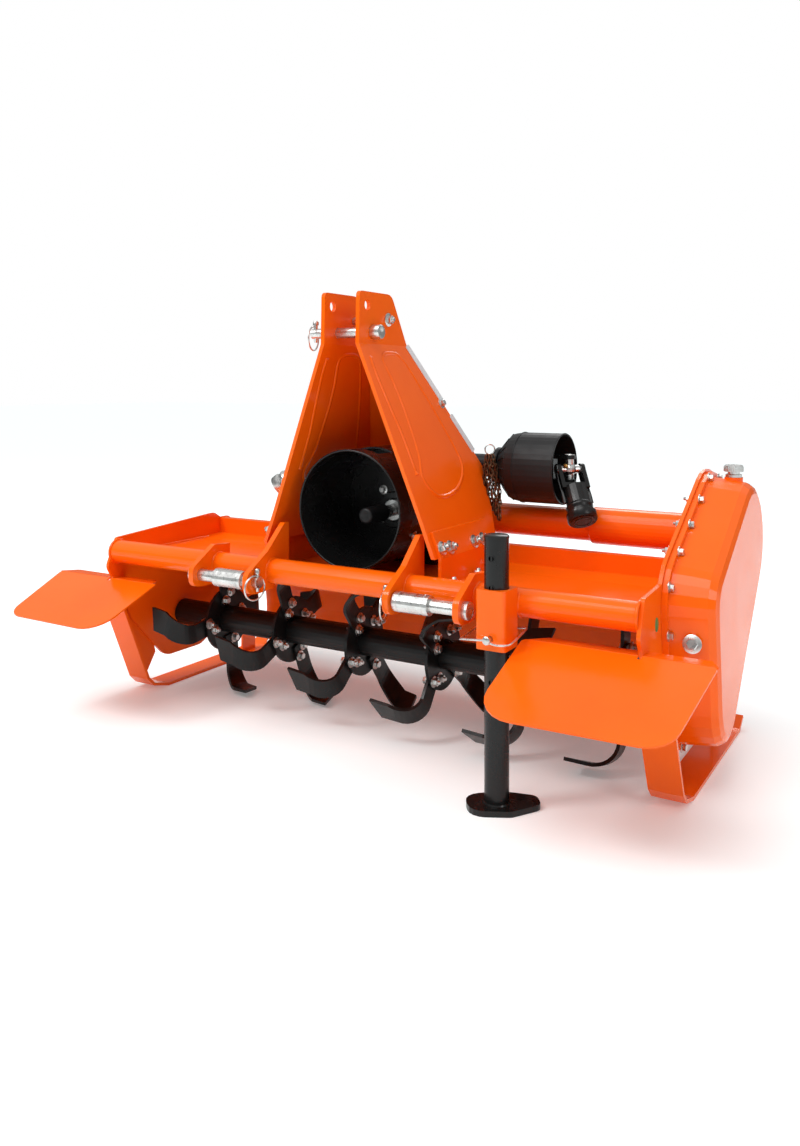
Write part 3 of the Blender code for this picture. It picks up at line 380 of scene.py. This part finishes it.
def mast_hardware():
    lean = Vector((1, 0, MAST_SPLAY)).normalized()
    spots = []
    for _, sign in EACH_SIDE:
        for y, z in ((0.066, 0.491), (0.104, 0.488), (0.226, 0.485), (0.272, 0.485)):
            spots.append((at(sign * mast_outer(z, 0.0088), y, z), (sign * lean.x, 0, lean.z)))
        for y in (0.075, 0.20, 0.300):
            spots.append((at(sign * (0.2575 + 0.011), y, 0.4083), (0, 0, 1)))
    bolts("mast_foot_bolts", spots, flats=0.019, tail=0.006)
    ends = [(at(way * MAST_FACE_X, *MAST_BOLT), (way, 0, 0)) for way in (1, -1)]
    bolts("mast_cross_bolt", ends, flats=0.019, tail=0.004)
    bm = bmesh.new()
    add_tube(bm, (at(-0.0437, *MAST_BOLT), at(0.0437, *MAST_BOLT)), 0.0095, 16)
    finish_piece("mast_spacer", bm, ZINC, "frame")
    # columns: y, z of the pressed ribs' middle lines
    panel = ((0.099, 0.924), (0.112, 0.860), (0.120, 0.790), (0.117, 0.696), (0.100, 0.640), (0.150, 0.596),
             (0.249, 0.606), (0.313, 0.659), (0.286, 0.747), (0.235, 0.850), (0.191, 0.920), (0.150, 0.936))
    border = ((0.044, 0.926), (0.046, 0.883), (0.060, 0.800), (0.072, 0.739), (0.078, 0.651))
    ribs = bmesh.new()
    for _, sign in EACH_SIDE:
        for face, offset in ((1, 0.0), (-1, -0.010)):
            for path, closed in ((panel, True), (border, False)):
                curve = smooth_path([Vector((0, y, z)) for y, z in path], 6, closed)
                last = len(curve) - 1
                points = []
                for k, spot in enumerate(curve):
                    sink = 0.0042 if closed or 0 < k < last else 0.0080
                    x = mast_outer(spot.z, offset) - face * sink * 1.07
                    points.append(at(sign * x, spot.y, spot.z))
                add_tube(ribs, points, 0.0068, 10, closed)
    finish_piece("mast_ribs", ribs, ORANGE, "frame", 60)
    strip = bmesh.new()
    for (y0, z0), (y1, z1) in (((0.228, 0.958), (0.318, 0.815)), ((0.336, 0.782), (0.394, 0.688))):
        start, end = at(mast_outer(z0) + 0.001, y0 + 0.004, z0), at(mast_outer(z1) + 0.001, y1 + 0.004, z1)
        add_bar(strip, start, end, Vector((0, 0.853, 0.522)), 0.0075, 0.0014)
    finish_piece("mast_edge_strips", strip, WHITE, "frame")
    bolts("mast_edge_bolt", [(at(mast_outer(0.812) - 0.001, 0.314, 0.812), (1, 0, MAST_SPLAY))], flats=0.015)


def add_bar(bm, start, end, across, half_wide, half_thick):
    """A flat bar between two points, with slightly drawn-in ends."""
    run = (end - start).normalized()
    thick = run.cross(across).normalized() * half_thick
    wide = thick.cross(run).normalized() * half_wide
    rows = []
    for spot, scale in ((start, 0.7), (start + run * 0.002, 1.0), (end - run * 0.002, 1.0), (end, 0.7)):
        rows.append([bm.verts.new(spot + wide * a * scale + thick * b)
                     for a, b in ((1, 1), (1, -1), (-1, -1), (-1, 1))])
    for low, high in zip(rows, rows[1:]):
        for k in range(4):
            bm.faces.new((low[k - 1], low[k], high[k], high[k - 1]))
    bm.faces.new(rows[0])
    bm.faces.new(rows[-1])


def linch(bm, centre, axis, away):
    """A linch pin through a hitch pin's end, with its sprung ring hanging to one side."""
    axis = Vector(axis).normalized()
    up = Vector((0, 0, 1))
    profile = ((0.0035, -0.022), (0.0048, -0.018), (0.0048, 0.020), (0.0072, 0.021), (0.0072, 0.029),
               (0.005, 0.032))
    add_turned(bm, profile, centre, up, 12)
    side = Vector(away).normalized()
    ring = ring_points(Vector(centre) - up * 0.012 + side * 0.010, axis, 0.0290, 32)
    add_tube(bm, ring, 0.0020, 7, closed=True)


def pin_hardware():
    bm = bmesh.new()
    for side, sign in EACH_SIDE:
        low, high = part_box(f"lower_pin_{side}")
        mid = middle(f"lower_pin_{side}")
        x = low[0] + 0.007 if sign > 0 else high[0] - 0.007
        linch(bm, (x, mid.y, mid.z), (1, 0.25 * sign, 0), (0, -1, 0))
    low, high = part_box("top_link_pin")
    mid = middle("top_link_pin")
    linch(bm, (low[0] + 0.008, mid.y, mid.z), (1, 0.2, 0), (0, -1, 0))
    finish_piece("linch_pins", bm, ZINC, "frame")
    heads = bmesh.new()
    for side, sign in EACH_SIDE:
        low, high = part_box(f"lower_pin_{side}")
        mid = middle(f"lower_pin_{side}")
        x = high[0] if sign > 0 else low[0]
        profile = ((0.0185, -0.003), (0.0185, 0.0002), (0.0160, 0.0024), (0.006, 0.0026), (0.004, 0.0016))
        add_turned(heads, profile, (x - sign * 0.002, mid.y, mid.z), (sign, 0, 0), 28)
        low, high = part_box(f"pin_sleeve_{side}")
        for x in (low[0] + 0.012, high[0] - 0.012):
            add_tube(heads, ring_points((x, mid.y, mid.z), (1, 0, 0), 0.0215, 28), 0.0011, 6, closed=True)
    mid = middle("top_link_pin")
    low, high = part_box("top_link_pin")
    profile = ((0.0172, -0.022), (0.0176, -0.020), (0.0176, 0.0), (0.0158, 0.0022), (0.006, 0.0024),
               (0.004, 0.0014))
    add_turned(heads, profile, (high[0] - 0.0006, mid.y, mid.z), (1, 0, 0), 28)
    finish_piece("pin_heads", heads, ZINC, "frame")


def stand_hardware():
    """The lock pin through the bracket with its wire handle, and the leg's holes, cap and foot weld."""
    low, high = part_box("stand_bracket")
    mid = middle("stand_bracket")
    z = 0.350                       # height of the lock pin
    bm = bmesh.new()
    profile = ((0.0035, -0.004), (0.006, 0.0), (0.006, 0.0185), (0.0085, 0.019), (0.0085, 0.024),
               (0.006, 0.026))
    add_turned(bm, profile, (mid.x, low[1] + 0.006, z), (0, -1, 0), 16)
    front = low[1] - 0.014
    right = ((mid.x + 0.004, front, z - 0.004), (mid.x + 0.022, front - 0.002, z - 0.006),
             (high[0] + 0.010, front, z - 0.004), (high[0] + 0.018, front + 0.012, z),
             (high[0] + 0.018, high[1] - 0.010, z + 0.010), (high[0] + 0.012, high[1] + 0.010, z + 0.012),
             (mid.x + 0.010, high[1] + 0.012, z + 0.006))
    left = ((mid.x - 0.004, front, z), (mid.x - 0.020, front - 0.002, z - 0.001),
            (low[0] - 0.022, front, z - 0.004), (low[0] - 0.030, front + 0.010, z - 0.006),
            (low[0] - 0.030, mid.y, z - 0.002), (low[0] - 0.026, high[1], z + 0.004))
    for wire in (right, left):
        add_tube(bm, smooth_path([Vector(p) for p in wire], 5), 0.0022, 8)
    finish_piece("stand_lock_pin", bm, ZINC, "frame")
    leg = bmesh.new()
    axis = at(*STAND, 0)
    rim = ((0.0072, 0.0), (0.0072, 0.0009), (0.0058, 0.0009), (0.0056, 0.0))
    for hole in (0.20, 0.26, 0.45, 0.51):
        add_turned(leg, rim, (axis.x, axis.y - 0.0252, hole), (0, -1, 0), 16)
    cap = ((0.0262, 0.0), (0.0262, 0.004), (0.0235, 0.0062), (0.0, 0.0064))
    add_turned(leg, cap, (axis.x, axis.y, 0.5495), (0, 0, 1), 32)
    foot_weld = []
    for k in range(40):
        a = 2 * math.pi * k / 40
        out = Vector((0.0258 * math.cos(a), 0.0258 * math.sin(a), 0))
        foot_weld.append(Vector((axis.x, axis.y, 0.0125)) + out)
    add_tube(leg, foot_weld, 0.0034, 6, closed=True)
    finish_piece("stand_trim", leg, BLACK, "parking_stand")


def smooth_path(points, steps=6, closed=False):
    """A Catmull-Rom curve through points."""
    count = len(points)
    result = []
    for i in range(count if closed else count - 1):
        p0, p1 = points[i - 1] if (i or closed) else points[0], points[i]
        p2 = points[(i + 1) % count]
        p3 = points[(i + 2) % count] if (closed or i + 2 < count) else points[-1]
        for k in range(steps):
            t = k / steps
            result.append(0.5 * ((2 * p1) + (p2 - p0) * t + (2 * p0 - 5 * p1 + 4 * p2 - p3) * t * t
                                 + (3 * p1 - p0 - 3 * p2 + p3) * t ** 3))
    if not closed:
        result.append(points[-1])
    return result


def bead(start, end):
    """The line of a hand-made weld, which wavers in height."""
    count = max(3, int((end - start).length / 0.004))
    wobble = [random.uniform(-0.0004, 0.0004) for _ in range(count + 1)]
    return [start.lerp(end, k / count) + Vector((0, 0, wobble[k])) for k in range(count + 1)]


def welds():
    bm = bmesh.new()
    for _, sign in EACH_SIDE:
        for x in LUG_FACES:
            line = arc(sign * x, (0, TUBE_Z), TUBE_WELD_R, [200 - 12 * k for k in range(14)])
            add_tube(bm, line, 0.0030, 7)
        for x, radius in ((0.2480, 0.0032), (0.2860, 0.0028)):      # the mast feet's two long edges
            add_tube(bm, bead(at(sign * x, 0.050, 0.4015), at(sign * x, 0.322, 0.4015)), radius, 6)
        add_tube(bm, ring_points(at(sign * 0.7145, 0, TUBE_Z), (1, 0, 0), 0.0312, 40), 0.0034, 7, closed=True)
        add_tube(bm, bead(at(sign * 0.7150, 0.034, 0.4010), at(sign * 0.7150, 0.405, 0.4010)), 0.0030, 6)
    for x in (0.4045, 0.4695):                                      # the stand bracket's two edges
        add_tube(bm, arc(x, (0, TUBE_Z), TUBE_WELD_R, [270 - 10 * k for k in range(15)]), 0.0030, 7)
    add_tube(bm, ring_points(at(0.450, *CROSS), (1, 0, 0), 0.0425, 40), 0.0036, 7, closed=True)
    finish_piece("weld_beads", bm, ORANGE, "frame", 70)


def body_hardware():
    """Bolts of the skids, hub and cross tube, the tailgate's hinge with its cover strip, and the sticker."""
    spots = []
    for _, sign in EACH_SIDE:
        face = sign * (SIDE_FACE + 0.0063)
        for y, z in ((0.072, 0.215), (0.098, 0.150), (0.552, 0.245), (0.582, 0.252)):
            spots.append((at(face, y, z), (sign, 0, 0)))
    bolts("body_bolts", spots, flats=0.017, tail=0.004)
    hub = arc(-SIDE_FACE - 0.0083, ROTOR, 0.062, [30 + 60 * k for k in range(6)])
    bolts("hub_bolts", [(spot, (-1, 0, 0)) for spot in hub], flats=0.013)
    flange = arc(0.7055, CROSS, 0.054, [20 + 60 * k for k in range(6)])
    bolts("cross_tube_bolts", [(spot, (-1, 0, 0)) for spot in flange], flats=0.013)
    bm = bmesh.new()
    knuckle = ((0.0105, -0.022), (0.0125, -0.020), (0.0125, 0.020), (0.0105, 0.022))
    for x in (-0.62, -0.31, 0.0, 0.31, 0.62):
        add_turned(bm, knuckle, at(x, 0.600, 0.300), (1, 0, 0), 20)
    finish_piece("tailgate_knuckles", bm, ORANGE, "tailgate")
    flap = bmesh.new()
    profile = ((0.580, 0.3190), (0.590, 0.3158), (0.600, 0.3142), (0.608, 0.3125), (0.6125, 0.3085))
    rows = [[flap.verts.new(at(x, y, z)) for y, z in profile] for x in (-0.712, 0.712)]
    for k in range(len(profile) - 1):
        flap.faces.new((rows[0][k], rows[0][k + 1], rows[1][k + 1], rows[1][k]))
    bmesh.ops.solidify(flap, geom=flap.faces[:], thickness=0.0011)
    finish_piece("hinge_cover_strip", flap, ORANGE, "frame")
    green = bmesh.new()
    middle_spot = at(SIDE_FACE - 0.0002, 0.078, 0.379)
    profile = ((0.0108, 0.0), (0.0108, 0.0008), (0.0100, 0.0012), (0.0, 0.0012))
    add_turned(green, profile, middle_spot, (1, 0, 0), 28)
    for vert in green.verts:
        vert.co.z = middle_spot.z + (vert.co.z - middle_spot.z) * 1.35
    finish_piece("round_sticker", green, GREEN, "frame")


def rotor_hardware():
    """Two bolts through each tine's shank and the flange, nuts on the other side."""
    nuts = bmesh.new()
    heads = bmesh.new()
    for k in range(6):              # places, turns and hands as the CAD's tine sets have them
        x = -0.545 + 0.231 * k
        for n in range(4):
            hand = 1 if n % 2 and k < 5 else -1
            turn = math.radians(98.0 + 15.0 * k + 90.0 * n)
            for across, out in ((-0.0115, 0.058), (0.0115, 0.077)):
                y = across * math.cos(turn) - out * math.sin(turn)
                z = across * math.sin(turn) + out * math.cos(turn)
                spot = at(x + hand * 0.011, ROTOR[0] + y, ROTOR[1] + z)
                other = at(x - hand * 0.004, ROTOR[0] + y, ROTOR[1] + z)
                add_bolt(heads, spot, (hand, 0, 0), 0.0165)
                add_bolt(nuts, other, (-hand, 0, 0), 0.0165, tail=0.006)
    finish_piece("tine_bolt_heads", heads, ZINC, "rotor", 30)
    finish_piece("tine_bolt_nuts", nuts, ZINC, "rotor", 30)


def gearbox_hardware():
    """The gearbox's covers and bolts, and the drum's rolled rim and bolts."""
    spots = []
    front = 0.2706                  # y of the gearbox's front face
    for k in range(4):
        a = math.radians(45 + 90 * k)
        spots.append((at(0.052 * math.cos(a), front, 0.552 + 0.052 * math.sin(a)), (0, -1, 0)))
    for x in (-0.075, 0.075):
        for z in (0.475, 0.595):
            spots.append((at(x, 0.560, z), (0, 1, 0)))
    spots.append((at(0.03, 0.510, 0.6165), (0, 0, 1)))
    bolts("gearbox_bolts", spots, flats=0.014)
    bm = bmesh.new()
    rear_cover = ((0.070, 0.0), (0.070, 0.004), (0.066, 0.006), (0.020, 0.006), (0.018, 0.010), (0.0, 0.010))
    add_turned(bm, rear_cover, at(0, 0.5598, 0.535), (0, 1, 0), 40)
    front_cover = ((0.047, 0.0), (0.047, 0.004), (0.044, 0.008), (0.031, 0.008), (0.0305, 0.002))
    add_turned(bm, front_cover, at(0, front, INPUT_Z), (0, -1, 0), 40)
    finish_piece("gearbox_covers", bm, BLACK, "frame")
    rim = bmesh.new()
    add_tube(rim, ring_points(at(0, 0.0512, SHIELD_Z), (0, 1, 0), 0.1415, 72), 0.0027, 8, closed=True)
    finish_piece("shield_rim", rim, BLACK, "frame", 60)
    tabs = []
    for angle in (205, 232, 335, 25):
        a = math.radians(angle)
        spot = at(0.1437 * math.cos(a), 0.135, SHIELD_Z + 0.1437 * math.sin(a))
        tabs.append((spot, (math.cos(a), 0, math.sin(a))))
    bolts("shield_bolts", tabs, flats=0.013)


def splined_shaft():
    """The input shaft with its six splines and its locking groove."""
    bm = bmesh.new()
    tip = at(0, 0.125, INPUT_Z)
    sides = 72
    root = 0.84                     # a spline's root, as a share of the radius
    splined = 0.083                 # length of the splined end
    # columns: distance from the tip, share of the radius
    steps = ((0.0, 0.90), (0.003, 1.0), (0.018, 1.0), (0.0185, root), (0.0245, root), (0.025, 1.0),
             (0.080, 1.0), (0.084, 0.86), (0.128, 0.86))
    rings = []
    for reach, scale in steps:
        ring = []
        for k in range(sides):
            a = 2 * math.pi * k / sides
            tooth = 1.0 if (k % 12) < 6 else root
            radius = 0.0175 * min(scale, tooth if reach < splined else 1.0)
            ring.append(bm.verts.new(tip + Vector((radius * math.cos(a), reach, radius * math.sin(a)))))
        rings.append(ring)
    for low, high in zip(rings, rings[1:]):
        for k in range(sides):
            bm.faces.new((low[k - 1], low[k], high[k], high[k - 1]))
    bm.faces.new(rings[0])
    bm.faces.new(rings[-1])
    collar = ((0.0295, 0.0), (0.0295, 0.016), (0.026, 0.0195), (0.016, 0.0195))
    add_turned(bm, collar, at(0, 0.2745, INPUT_Z), (0, -1, 0), 40)
    piece = finish_piece("splined_input_shaft", bm, STEEL, "input_shaft", 30)
    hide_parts("input_shaft")
    cap = bmesh.new()
    profile = ((0.0180, 0.078), (0.0225, 0.078), (0.0225, 0.070), (0.0205, 0.068), (0.0200, 0.004),
               (0.0180, 0.0), (0.0120, -0.0025), (0.0100, -0.0015), (0.0, -0.0015))
    add_turned(cap, profile, tip, (0, 1, 0), 36)
    finish_piece("input_shaft_cap", cap, PLASTIC, "input_shaft", 50)


def drive_shaft_hardware():
    """Ribs, collars, joint caps, grease nipples and yoke ends of the stowed drive shaft, with painted shade
    in each yoke's closed bore.
    """
    ribs = bmesh.new()
    axis = at(0, *STOW)
    collar = ((0.046, 0.0), (0.049, 0.003), (0.049, 0.013), (0.046, 0.015), (0.0295, 0.015))
    for sign, start in ((-1, -0.205), (1, 0.215)):          # columns: way out, x where the bell starts
        for k in range(18):
            a = 2 * math.pi * k / 18
            out = Vector((0, math.cos(a), math.sin(a)))
            rib = [axis + Vector((start + sign * along_x, 0, 0)) + out * radius
                   for along_x, radius in ((0.003, 0.0455), (0.0125, 0.0605), (0.036, 0.0862))]
            add_tube(ribs, rib, 0.0021, 5)
        add_turned(ribs, collar, at(start - sign * 0.0165, *STOW), (sign, 0, 0), 36)
        for along_x, radius, thick in ((0.0605, 0.0902, 0.0015), (0.1675, 0.0893, 0.0019)):
            hoop = ring_points(at(start + sign * along_x, *STOW), (1, 0, 0), radius, 56)
            add_tube(ribs, hoop, thick, 6, closed=True)
    for x in (-0.12, -0.115, 0.10, 0.105):
        add_tube(ribs, ring_points(at(x, *STOW), (1, 0, 0), 0.0302, 32), 0.0014, 6, closed=True)
    finish_piece("drive_shaft_ribs", ribs, PLASTIC, "frame", 60)
    caps = bmesh.new()
    nipple = bmesh.new()
    joints = (                      # columns: side, x, way the end yoke hangs, that yoke's material
        ("left", -0.387, (-0.74, -0.22, -0.635), ZINC),
        ("right", 0.397, (0.40, -0.45, -0.80), BLACK),
    )
    for side, x, way_down, yoke_material in joints:
        centre = at(x, *STOW)
        hang = Vector(way_down).normalized()
        pin = hang.cross(Vector((0, 0, 1))).normalized()
        for way in (Vector((0, 0, 1)), Vector((0, 0, -1)), pin, -pin):
            profile = ((0.0118, 0.0), (0.0118, 0.0008), (0.0105, 0.0012), (0.0098, 0.0004), (0.0, 0.0004))
            add_turned(caps, profile, centre + way * 0.0361, way, 24)
            add_tube(caps, ring_points(centre + way * 0.0366, way, 0.0128, 24), 0.0009, 6, closed=True)
        third = hang.cross(pin).normalized()
        way = (pin + third * (1 if third.y < 0 else -1)).normalized()
        profile = ((0.0040, 0.0), (0.0040, 0.005), (0.0055, 0.0052), (0.0055, 0.0085), (0.0032, 0.010),
                   (0.0040, 0.013), (0.0026, 0.0155))
        add_turned(nipple, profile, centre + way * 0.015, way, 10)
        end = centre + hang * 0.1500
        collar = bmesh.new()
        profile = ((0.0305, -0.046), (0.0335, -0.042), (0.0335, -0.036), (0.0315, -0.033), (0.0315, -0.026),
                   (0.0370, -0.022), (0.0370, -0.004), (0.0345, -0.001), (0.0235, -0.001), (0.0235, 0.0003),
                   (0.0300, 0.0004))
        add_turned(collar, profile, end, hang, 36)
        knob = (third - pin * 0.4).normalized()
        profile = ((0.0075, 0.028), (0.0085, 0.030), (0.0085, 0.039), (0.0060, 0.041), (0.0, 0.041))
        add_turned(collar, profile, end - hang * 0.060, knob, 16)
        for ear in (pin, -pin):
            ridge = [centre + ear * 0.0345 + hang * r + third * w
                     for r, w in ((0.012, 0.0), (0.040, 0.004), (0.075, 0.0), (0.098, 0.0))]
            add_tube(collar, smooth_path(ridge, 5), 0.0052, 8)
        finish_piece(f"yoke_collar_{side}", collar, yoke_material, "frame")
        # Painted shade: a thin black ring and disc on each yoke's closed end stand in for the dark inside of
        # the splined bore, which model.glb leaves closed.
        bore_shade = bmesh.new()
        profile = ((0.0225, 0.0002), (0.0215, 0.0014), (0.0192, 0.0014), (0.0185, 0.0002))
        add_turned(bore_shade, profile, end, hang, 30)
        finish_piece(f"yoke_painted_bore_shade_{side}", bore_shade, PLASTIC, "frame")
    finish_piece("joint_caps", caps, ZINC, "frame")
    finish_piece("grease_nipples", nipple, BRASS, "frame")


def chain_links():
    """The guard's safety chain, gathered in a bundle that hangs from its ring in front of the bell."""
    bm = bmesh.new()
    top = at(0.203, 0.404, 0.694)
    ring = ring_points(top, (0.55, -0.8, 0.1), 0.0125, 22)
    hook = bmesh.new()
    add_tube(hook, ring, 0.0019, 7, closed=True)
    finish_piece("chain_ring", hook, ZINC, "frame")
    strands = 8
    for s in range(strands):
        phase = 2 * math.pi * s / strands
        count = 13
        for k in range(count):
            t = k / (count - 1)
            swell = 0.0190 * math.sin(math.pi * min(1.0, 0.12 + t * 0.9)) ** 0.8
            around = phase + t * 1.4
            place = top + Vector((0.026 * t * t + swell * math.cos(around), 0.5 * swell * math.sin(around),
                                  -0.022 - 0.150 * t))
            twist = math.pi / 2 * (k % 2) + phase + random.uniform(-0.3, 0.3)
            tilt = random.uniform(-0.25, 0.25)
            turn = Matrix.Rotation(twist, 3, "Z") @ Matrix.Rotation(tilt, 3, "Y")
            loop = []
            for j in range(16):
                a = 2 * math.pi * j / 16
                flat = Vector((0.0048 * math.cos(a), 0, 0.0098 * math.sin(a)))
                loop.append(place + turn @ flat)
            add_tube(bm, loop, 0.00165, 6, closed=True)
    finish_piece("safety_chain", bm, CHAIN, "frame")


# ------------------------------------------------------------------ studio
def make_studio():
    """A pale floor, a sky that the camera sees as white, and soft lamps."""
    bm = bmesh.new()
    bmesh.ops.create_grid(bm, x_segments=1, y_segments=1, size=30.0)
    floor_mesh = bpy.data.meshes.new("floor")
    bm.to_mesh(floor_mesh)
    bm.free()
    floor = bpy.data.objects.new("floor", floor_mesh)
    bpy.context.scene.collection.objects.link(floor)
    material, tree, shader = new_material("floor_white")
    shader.inputs["Base Color"].default_value = (0.85, 0.905, 0.91, 1)
    shader.inputs["Roughness"].default_value = 0.8
    shader.inputs["Specular IOR Level"].default_value = 0.1
    shader.inputs["Emission Color"].default_value = (1, 1, 1, 1)
    shader.inputs["Emission Strength"].default_value = 0.18
    floor_mesh.materials.append(material)
    bpy.context.scene.view_settings.view_transform = "Standard"
    world = bpy.data.worlds.new("studio")
    bpy.context.scene.world = world
    world.use_nodes = True
    tree = world.node_tree
    back = tree.nodes["Background"]
    spread = tree.nodes.new("ShaderNodeSeparateXYZ")
    tree.links.new(tree.nodes.new("ShaderNodeTexCoord").outputs["Generated"], spread.inputs[0])
    ceiling = ramp(tree, spread.outputs["Z"], ((0.0, grey(0.10)), (0.22, grey(0.20)), (0.55, grey(0.66))))
    tree.links.new(ceiling, back.inputs["Color"])
    back.inputs["Strength"].default_value = 1.0
    seen = tree.nodes.new("ShaderNodeBackground")
    seen.inputs["Color"].default_value = (1.0, 1.0, 1.0, 1)
    choose = tree.nodes.new("ShaderNodeMixShader")
    path = tree.nodes.new("ShaderNodeLightPath")
    tree.links.new(path.outputs["Is Camera Ray"], choose.inputs[0])
    tree.links.new(back.outputs[0], choose.inputs[1])
    tree.links.new(seen.outputs[0], choose.inputs[2])
    tree.links.new(choose.outputs[0], tree.nodes["World Output"].inputs["Surface"])
    lamps = (             # columns: name, kind, place, size or angle, power
        ("sky", "SUN", (-0.3, -2.0, 4.2), math.radians(40), 1.35),
        ("key", "AREA", (-2.4, -3.2, 4.2), 1.4, 90.0),
        ("fill", "AREA", (4.4, -1.6, 2.6), 1.4, 26.0),
        ("rear", "AREA", (-0.6, 4.4, 3.6), 2.0, 50.0),
    )
    for name, kind, place, size, power in lamps:
        data = bpy.data.lights.new(name, kind)
        if kind == "SUN":
            data.angle = size
        else:
            data.shape = "DISK"
            data.size = size
        data.energy = power
        lamp = bpy.data.objects.new(name, data)
        lamp.location = place
        lamp.rotation_euler = (Vector((0, 0, 0.4)) - Vector(place)).to_track_quat("-Z", "Y").to_euler()
        bpy.context.scene.collection.objects.link(lamp)


def make_camera():
    """The photograph's viewing angle, from a fit of its perspective."""
    data = bpy.data.cameras.new("camera")
    data.sensor_width = 36.0
    data.lens = 30.425
    data.shift_x = 0.0126
    data.shift_y = -0.1696
    camera = bpy.data.objects.new("camera", data)
    heading, pitch = math.radians(31.3012), math.radians(0.2558)
    level = math.cos(pitch)
    forward = Vector((-math.sin(heading) * level, math.cos(heading) * level, math.sin(pitch)))
    camera.location = at(1.2707, -1.8696, 0.8648)
    camera.rotation_mode = "QUATERNION"
    camera.rotation_quaternion = forward.to_track_quat("-Z", "Y")
    bpy.context.scene.collection.objects.link(camera)
    bpy.context.scene.camera = camera


make_camera()
paint_nodes()
soften_edges()
gear_case_hardware()
mast_hardware()
pin_hardware()
stand_hardware()
welds()
body_hardware()
rotor_hardware()
gearbox_hardware()
splined_shaft()
drive_shaft_hardware()
chain_links()
make_studio()
